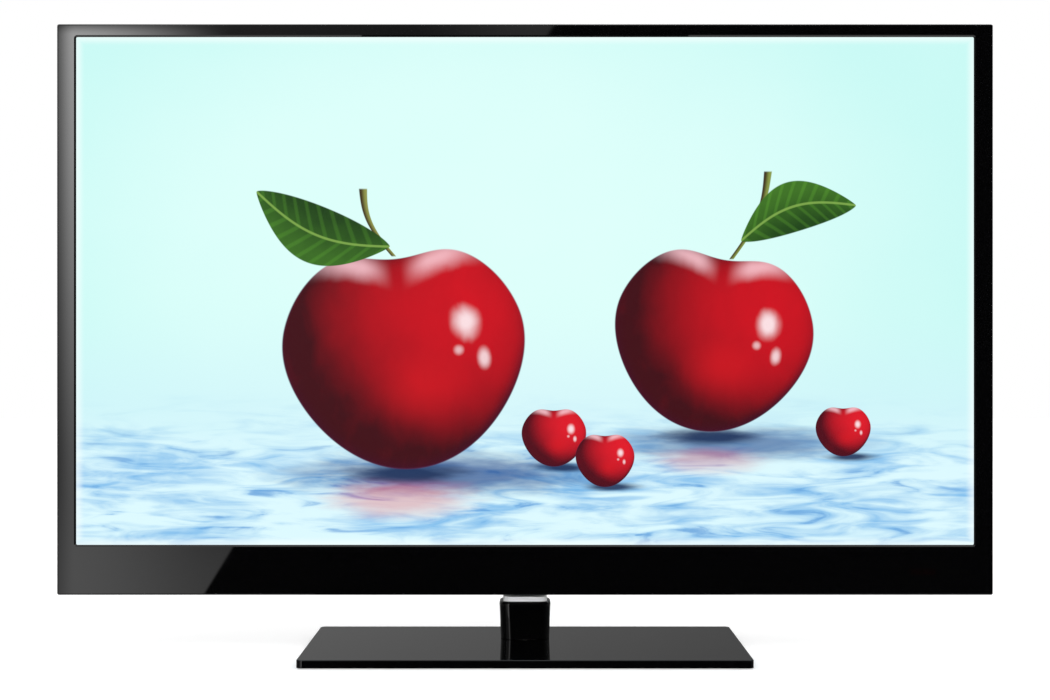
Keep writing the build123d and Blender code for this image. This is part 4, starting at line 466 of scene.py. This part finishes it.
def ground(surface, under, v):
    """Wet pale ground with blue ripples, over the sky."""
    ripples = surface.noise(scale=22, detail=5, stretch=(0.55, 1, 3.6), distortion=1.2)
    pools = surface.noise(scale=9, detail=4, stretch=(0.7, 1, 3.2), distortion=0.8)
    water = surface.blend(water_blue, water_pale, (ripples * 0.6 + pools * 0.55).step(0.38, 0.68))
    water = surface.blend(water, water_deep, ripples.step(0.4, 0.3) * 0.6)
    shore = v + (pools - 0.5) * 0.05
    return surface.blend(under, water, shore.step(horizon_v + 0.035, horizon_v - 0.05))


def screen_picture():
    """Still life: two red fruits, berries and leaves on a wet pale ground."""
    surface = Surface("screen_picture")
    x, _, z = surface.axes()
    u = x - picture_centre.x
    v = z - picture_centre.z
    field = ground(surface, sky(surface, u, v), v)
    for pool in pools_of_shade:
        field = shadow(surface, field, u, v, *pool)
    for centre, reach in contacts:
        field = shadow(surface, field, u, v, centre, reach, reach * contact_flatness,
                       contact_colour, contact_strength)
    for motif in (far_fruit, near_fruit):
        field = fruit(surface, field, u, v, *motif["fruit"], fruit_dark, fruit_red)
        field = stalk(surface, field, u, v, *motif["stalk"])
        field = leaf(surface, field, u, v, *motif["leaf"])
    for centre, radius in berries:
        field = fruit(surface, field, u, v, centre, radius, 0.0, berry_dark, berry_red)
    edge = (-u.size() + picture_half_width).smaller(-v.size() + picture_half_height)
    field = surface.blend(field, rim_white, edge.step(picture_rim, 0.0) * 0.6)
    surface.wired("Emission Color", field)
    surface.fixed("Emission Strength", screen_glow)
    surface.fixed("Base Color", glass_black)
    surface.fixed("Specular IOR Level", glass_shine)
    surface.roughness(0.42, 0.5, surface.noise(scale=300, detail=2).step(*noise_band))
    return surface.material


def fine_lines(name, dark, light, pitch, axis):
    """Film, ribbon or wound wire: parallel lines along one axis."""
    surface = Surface(name)
    place = surface.axes()[axis]
    lines = (place * (2 * math.pi / pitch)).sine().step(-0.2, 0.6)
    surface.colour(dark, light, (lines * 0.8 + surface.noise(scale=50, detail=3) * 0.3).capped())
    surface.roughness(0.3, 0.5, surface.noise(scale=70, detail=3).step(*noise_band))
    return surface.material


# Stretches that draw a noise out into lines along x or along z
lines_across = (0.03, 1, 1)
lines_upright = (1, 1, 0.03)
satin, smooth, matt = (0.4, 0.55), (0.1, 0.2), (0.5, 0.7)
slot_materials = {
    "gloss_black": gloss_black(),
    "bright_trim": sheet_plastic("bright_trim", (0.9, 0.91, 0.92), (0.96, 0.965, 0.97), satin),
    "foot_rubber": rubber("foot_rubber", (0.012, 0.012, 0.012), (0.03, 0.03, 0.03)),
    "foam": rubber("foam", (0.02, 0.02, 0.022), (0.045, 0.045, 0.05)),
    "zinc_steel": zinc_steel(),
    "cast_metal": textured_plastic(
        "cast_metal", (0.012, 0.012, 0.013), (0.03, 0.03, 0.032), grain=900, rough=(0.45, 0.6)),
    "sink_metal": brushed_metal("sink_metal", (0.45, 0.46, 0.47), (0.7, 0.71, 0.72), lines_upright),
    "bare_screws": brushed_metal("bare_screws", (0.45, 0.45, 0.43), (0.7, 0.7, 0.66), lines_across),
    "black_screws": brushed_metal(
        "black_screws", (0.02, 0.02, 0.022), (0.06, 0.06, 0.062), lines_across),
    "bearing_plastic": sheet_plastic("bearing_plastic", (0.6, 0.58, 0.52), (0.8, 0.78, 0.73)),
    "screen": screen_picture(),
    "dark_lens": dark_lens(),
    "clear_sheet": sheet_plastic("clear_sheet", (0.7, 0.74, 0.76), (0.84, 0.88, 0.9), smooth),
    "white_sheet": sheet_plastic("white_sheet", (0.78, 0.78, 0.75), (0.9, 0.9, 0.88), matt),
    "matte_black": textured_plastic("matte_black", (0.009, 0.009, 0.01), (0.026, 0.026, 0.028)),
    "key_black": textured_plastic(
        "key_black", (0.014, 0.014, 0.015), (0.034, 0.034, 0.036), grain=2400, rough=(0.35, 0.5)),
    "board_green": circuit_board(),
    "amber_film": fine_lines(
        "amber_film", (0.3, 0.12, 0.015), (0.55, 0.28, 0.05), pitch=0.0016, axis=0),
    "ribbon_white": fine_lines(
        "ribbon_white", (0.45, 0.46, 0.48), (0.8, 0.81, 0.83), pitch=0.001, axis=2),
    "wound_parts": fine_lines(
        "wound_parts", (0.02, 0.018, 0.012), (0.09, 0.075, 0.03), pitch=0.0012, axis=2),
    "cone_paper": rubber("cone_paper", (0.02, 0.02, 0.021), (0.05, 0.05, 0.052)),
    "wire_skin": sheet_plastic("wire_skin", (0.03, 0.03, 0.03), (0.08, 0.08, 0.08)),
    "socket_metal": brushed_metal(
        "socket_metal", (0.46, 0.45, 0.42), (0.72, 0.71, 0.67), lines_across, rough=(0.22, 0.36)),
    "socket_black": textured_plastic(
        "socket_black", (0.01, 0.01, 0.01), (0.024, 0.024, 0.025), grain=2000, rough=satin),
    "socket_blue": sheet_plastic("socket_blue", (0.008, 0.03, 0.2), (0.016, 0.055, 0.32)),
    "phono_metal": brushed_metal(
        "phono_metal", (0.46, 0.44, 0.4), (0.74, 0.71, 0.66), lines_across, rough=(0.2, 0.34)),
}

for entry in frame["record"]["subparts"]:
    node = frame["nodes"][entry["node"]]
    node.data.materials.clear()
    node.data.materials.append(slot_materials[entry["material_slot"]])


# Points closer than this are one
weld_distance = 1e-7


def add_mesh(name, points, faces, material, body):
    """Closed piece of the part, riding on a body."""
    mesh = bpy.data.meshes.new(name)
    mesh.from_pydata([tuple(point) for point in points], [], faces)
    mesh.validate()
    mesh.materials.append(material)
    piece = bpy.data.objects.new(name, mesh)
    bpy.context.collection.objects.link(piece)
    outward(mesh)
    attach(piece, body)
    return piece


def outward(mesh):
    """Turns every face outwards."""
    form = bmesh.new()
    form.from_mesh(mesh)
    bmesh.ops.remove_doubles(form, verts=form.verts, dist=weld_distance)
    bmesh.ops.recalc_face_normals(form, faces=form.faces)
    form.to_mesh(mesh)
    form.free()


def plate(name, low, high, material, body, corner=0.0, steps=6):
    """Thin plate between two places, the outline of its broad sides rounded by corner."""
    low, high = Vector(low), Vector(high)
    middle, half = (low + high) / 2, (high - low) / 2
    thin = min(range(3), key=lambda axis: half[axis])
    wide, tall = [axis for axis in range(3) if axis != thin]
    outline = []
    for turn, (sign_wide, sign_tall) in enumerate(((1, 1), (-1, 1), (-1, -1), (1, -1))):
        for step_index in range(steps + 1):
            angle = quarter_turn * (turn + step_index / steps)
            outline.append((
                sign_wide * (half[wide] - corner) + corner * math.cos(angle),
                sign_tall * (half[tall] - corner) + corner * math.sin(angle),
            ))
    points = []
    for side in (-1, 1):
        for a, b in outline:
            point = [0.0, 0.0, 0.0]
            point[wide], point[tall], point[thin] = a, b, side * half[thin]
            points.append(Vector(point) + middle)
    count = len(outline)
    faces = [list(range(count)), list(range(count, 2 * count))]
    faces += [[i, (i + 1) % count, (i + 1) % count + count, i + count] for i in range(count)]
    return add_mesh(name, points, faces, material, body)


def ring(name, centre, axis, inner, outer, thickness, material, body, steps=40):
    """Flat washer about an axis, its middle at centre."""
    first, second = [index for index in range(3) if index != axis]
    points = []
    for offset in (-thickness / 2, thickness / 2):
        for radius in (inner, outer):
            for turn in range(steps):
                angle = 2 * math.pi * turn / steps
                point = list(centre)
                point[first] += radius * math.cos(angle)
                point[second] += radius * math.sin(angle)
                point[axis] += offset
                points.append(point)
    low_in, low_out, high_in, high_out = (steps * row for row in range(4))
    sides = ((low_in, low_out), (low_out, high_out), (high_out, high_in), (high_in, low_in))
    faces = []
    for turn in range(steps):
        after = (turn + 1) % steps
        for near, far in sides:
            faces.append((near + turn, near + after, far + after, far + turn))
    return add_mesh(name, points, faces, material, body)


# Coloured collars where the phono barrels leave the cover, level with the inlet's flange
sideways, upwards = 0, 2
phono_low, phono_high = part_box("phono_jacks")
phono_body_width = 0.011
phono_axis_rise = 0.0072
collar_inner, collar_outer, collar_thickness = 0.0042, 0.0054, 0.0009
collar_drop = 0.0006
collar_rough = (0.3, 0.45)
collar_colours = {
    "green": ((0.01, 0.16, 0.03), (0.02, 0.24, 0.05)),
    "blue": ((0.01, 0.05, 0.26), (0.02, 0.08, 0.36)),
    "red_video": ((0.26, 0.008, 0.008), (0.38, 0.014, 0.014)),
    "white": ((0.62, 0.62, 0.6), (0.76, 0.76, 0.74)),
    "red_audio": ((0.26, 0.008, 0.008), (0.38, 0.014, 0.014)),
}
first_phono_x = phono_low.x + phono_body_width / 2
phono_pitch = (phono_high.x - phono_low.x - phono_body_width) / (len(collar_colours) - 1)
inlet_flange_thickness = 0.0018
collar_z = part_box("mains_inlet")[0].z + inlet_flange_thickness - collar_drop
for place, (colour_name, shades) in enumerate(collar_colours.items()):
    collar_name = "collar_" + colour_name
    collar_centre = (first_phono_x + place * phono_pitch, phono_low.y + phono_axis_rise, collar_z)
    ring(collar_name, collar_centre, upwards, collar_inner, collar_outer, collar_thickness,
         sheet_plastic(collar_name, *shades, collar_rough), "head")

# Signs on the keys of the right edge: plain generic strokes
mark_material = sheet_plastic("key_mark", (0.5, 0.5, 0.5), (0.66, 0.66, 0.66), rough=(0.5, 0.65))
mark_rise = 0.00004
half_stroke = 0.0002
half_bar = 0.0014
half_cross = 0.0012
power_ring_inner, power_ring_outer = 0.0011, 0.0014
power_stroke_z, power_stroke_reach = 0.0012, 0.0009
frame_half_height, frame_side_y, frame_side_reach = 0.0013, 0.0012, 0.0011
menu_pitch = 0.001
rocker_reach = 0.009
plus_arm_place, plus_arm_reach = 0.0007, 0.0005
arrow_bars = ((-0.0008, 0.0013), (0, 0.0008), (0.0008, 0.0003))


def key_sign(key, sign, strokes):
    """Strokes given as (y, z, half length in y, half length in z) from the key's middle."""
    low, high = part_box(key)
    centre_y, centre_z = (low.y + high.y) / 2, (low.z + high.z) / 2
    for index, (y, z, reach_y, reach_z) in enumerate(strokes):
        plate(f"sign_{sign}_{index}",
              (high.x - mark_rise, centre_y + y - reach_y, centre_z + z - reach_z),
              (high.x + mark_rise, centre_y + y + reach_y, centre_z + z + reach_z),
              mark_material, key, corner=half_stroke / 2)


power_low, power_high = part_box("power_key")
power_face = (power_high.x, (power_low.y + power_high.y) / 2, (power_low.z + power_high.z) / 2)
ring("sign_power_ring", power_face, sideways, power_ring_inner, power_ring_outer, 2 * mark_rise,
     mark_material, "power_key")
key_sign("power_key", "power", [(0, power_stroke_z, half_stroke, power_stroke_reach)])
key_sign("source_key", "source", [
    (0, frame_half_height, half_bar, half_stroke), (0, -frame_half_height, half_bar, half_stroke),
    (-frame_side_y, 0, half_stroke, frame_side_reach),
    (frame_side_y, 0, half_stroke, frame_side_reach),
])
key_sign("menu_key", "menu", [(0, row * menu_pitch, half_bar, half_stroke) for row in (-1, 0, 1)])
key_sign("volume_rocker", "volume", [
    (0, rocker_reach, half_cross, half_stroke),
    (0, rocker_reach + plus_arm_place, half_stroke, plus_arm_reach),
    (0, rocker_reach - plus_arm_place, half_stroke, plus_arm_reach),
    (0, -rocker_reach, half_cross, half_stroke),
])
key_sign("channel_rocker", "channel", [
    (0, side * (rocker_reach + rise), reach, half_stroke)
    for side in (-1, 1)
    for rise, reach in arrow_bars
])


# Floor, light and the surroundings that the gloss shows
floor_half = 7
floor_white = (0.9, 0.9, 0.9)
floor_lift = 0.32
world_fill = 0.85

# Cards: width, height and middle
front_card_form = (9.0, 5.0, (0, camera_y, 0.9))
back_card_form = (7.0, 1.6, (0, 1.9, 0.55))
side_card_form = (7.0, 5.0, (0, 0, 0.9))
side_card_x = 3.2

# Slanted edge of the lit wedge on the front card, and how bright its parts are
edge_foot_x, edge_foot_z = -0.636, -0.142
edge_top_x, edge_top_z = 0.052, 0.978
edge_blur = 0.004
corner_glow, corner_floor, corner_power = 8.0, 0.86, 1.35
rim_shade = 0.15
top_shade = 0.25
veil_glow, veil_floor = 0.22, 0.1
seam_strength = 0.42
low_wash_strength = 0.62

# Lamps: place, size and power
lamps = {
    "key": ((-1.7, -2.1, 2.6), (1.4, 1.4), 24),
    "fill": ((2.2, -1.2, 2.4), (1.6, 1.2), 12),
    "rear": ((0.9, 2.4, 2.2), (1.8, 1.2), 20),
}
low_fill = ((0, -1.6, 0.25), (2.0, 0.4), 11.5)


def add_object(name, mesh):
    stage_piece = bpy.data.objects.new(name, mesh)
    bpy.context.collection.objects.link(stage_piece)
    return stage_piece


def flat_mesh(name, corners, material):
    mesh = bpy.data.meshes.new(name)
    mesh.from_pydata(corners, [], [(0, 1, 2, 3)])
    mesh.materials.append(material)
    return mesh


def emission_material(name):
    """Plain glow, with the fields of x, y and z that its strength can follow."""
    material = bpy.data.materials.new(name)
    material.use_nodes = True
    tree = material.node_tree
    tree.nodes.clear()
    shader = tree.nodes.new("ShaderNodeEmission")
    output = tree.nodes.new("ShaderNodeOutputMaterial")
    tree.links.new(shader.outputs[0], output.inputs["Surface"])
    place = tree.nodes.new("ShaderNodeTexCoord").outputs["Object"]
    split = tree.nodes.new("ShaderNodeSeparateXYZ")
    tree.links.new(place, split.inputs[0])
    return material, shader, [Field(tree, output) for output in split.outputs]


def glow_with(shader, glow):
    glow.tree.links.new(glow.source, shader.inputs["Strength"])


def glossy_card(name, form, material):
    """Upright card that only reflections see."""
    width, height, (x, y, z) = form
    half_width, half_height = width / 2, height / 2
    corners = [(x + side * half_width, y, z + level * half_height)
               for side, level in ((-1, -1), (1, -1), (1, 1), (-1, 1))]
    card = add_object(name, flat_mesh(name, corners, material))
    card.visible_camera = False
    card.visible_diffuse = False
    card.visible_transmission = False
    card.visible_shadow = False
    return card


def front_card():
    """Dark studio wall behind the camera with a softly lit wedge on its left."""
    material, shader, (x, _, z) = emission_material("front_card")
    slope = (edge_top_x - edge_foot_x) / (edge_top_z - edge_foot_z)
    inside = (x - ((z - edge_foot_z) * slope + edge_foot_x)).step(edge_blur, -edge_blur)
    # Brightest at the upper left, less so at the outer rims of the two rails
    left = x.step(-1.5, -1.1)
    rise = z.step(-0.35, 1.25).raised(corner_power) * corner_glow + corner_floor
    shaded_rim = x.step(-0.975, -0.93) * (1 - rim_shade) + rim_shade
    shaded_top = z.step(0.995, 0.968) * (1 - top_shade) + top_shade
    corner = x.step(-0.6, -0.97) * left * rise * shaded_rim * shaded_top
    veil = x.step(0.1, -0.75) * veil_glow + veil_floor
    seam = x.step(-0.28, 0.06) * z.step(0.7, 0.95) * seam_strength
    low_wash = z.step(0.12, -0.2) * left * low_wash_strength
    glow_with(shader, (corner + veil + seam + low_wash) * inside)
    glossy_card("front_card", front_card_form, material)


def back_card():
    """Grey wall behind the set, paler on the left, that the base's top shows at a low angle."""
    material, shader, (x, _, _) = emission_material("back_card")
    glow_with(shader, x.step(1.1, -1.1) * 0.14 + 0.12)
    glossy_card("back_card", back_card_form, material)


def side_card(name, x):
    """Dim wall beside the set, seen in the rounded sides of the neck and bezel."""
    material, shader, (_, y, _) = emission_material(name)
    glow_with(shader, y.step(-2.6, 2.2) * 0.1 + 0.05)
    card = glossy_card(name, side_card_form, material)
    for vertex in card.data.vertices:
        vertex.co = (x, vertex.co.x, vertex.co.z)


def add_floor():
    """Pale floor that no reflection sees, lifted to white for the camera alone."""
    material = bpy.data.materials.new("floor")
    material.use_nodes = True
    tree = material.node_tree
    shader = tree.nodes["Principled BSDF"]
    shader.inputs["Base Color"].default_value = (*floor_white, 1)
    shader.inputs["Roughness"].default_value = 0.9
    shader.inputs["Emission Color"].default_value = (1, 1, 1, 1)
    camera_ray = Field(tree, tree.nodes.new("ShaderNodeLightPath").outputs["Is Camera Ray"])
    tree.links.new((camera_ray * floor_lift).source, shader.inputs["Emission Strength"])
    corners = [(side * floor_half, depth * floor_half, 0)
               for side, depth in ((-1, -1), (1, -1), (1, 1), (-1, 1))]
    floor = add_object("floor", flat_mesh("floor", corners, material))
    floor.visible_glossy = False


def add_world():
    """White surroundings for the camera and for reflections, with a softer fill for the rest."""
    world = bpy.data.worlds.new("studio")
    bpy.context.scene.world = world
    world.use_nodes = True
    tree = world.node_tree
    background = tree.nodes["Background"]
    background.inputs["Color"].default_value = (1, 1, 1, 1)
    path = tree.nodes.new("ShaderNodeLightPath")
    seen = Field(tree, path.outputs["Is Camera Ray"])
    seen = seen.larger(Field(tree, path.outputs["Is Glossy Ray"]))
    seen = seen.larger(Field(tree, path.outputs["Is Transmission Ray"]))
    strength = seen * (1 - world_fill) + world_fill
    tree.links.new(strength.source, background.inputs["Strength"])


def add_lamp(name, aim, place, size, power):
    data = bpy.data.lights.new(name, "AREA")
    data.shape = "RECTANGLE"
    data.size, data.size_y = size
    data.energy = power
    lamp = add_object(name, data)
    lamp.location = place
    lamp.rotation_euler = (Vector(aim) - Vector(place)).to_track_quat("-Z", "Y").to_euler()
    return lamp


front_card()
back_card()
side_card("left_card", -side_card_x)
side_card("right_card", side_card_x)
add_floor()
add_world()
for lamp_name, lamp_form in lamps.items():
    add_lamp(lamp_name, part_middle, *lamp_form)
add_lamp("low_fill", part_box("neck_cap")[0], *low_fill).visible_glossy = False

bpy.context.scene.view_settings.view_transform = "Standard"
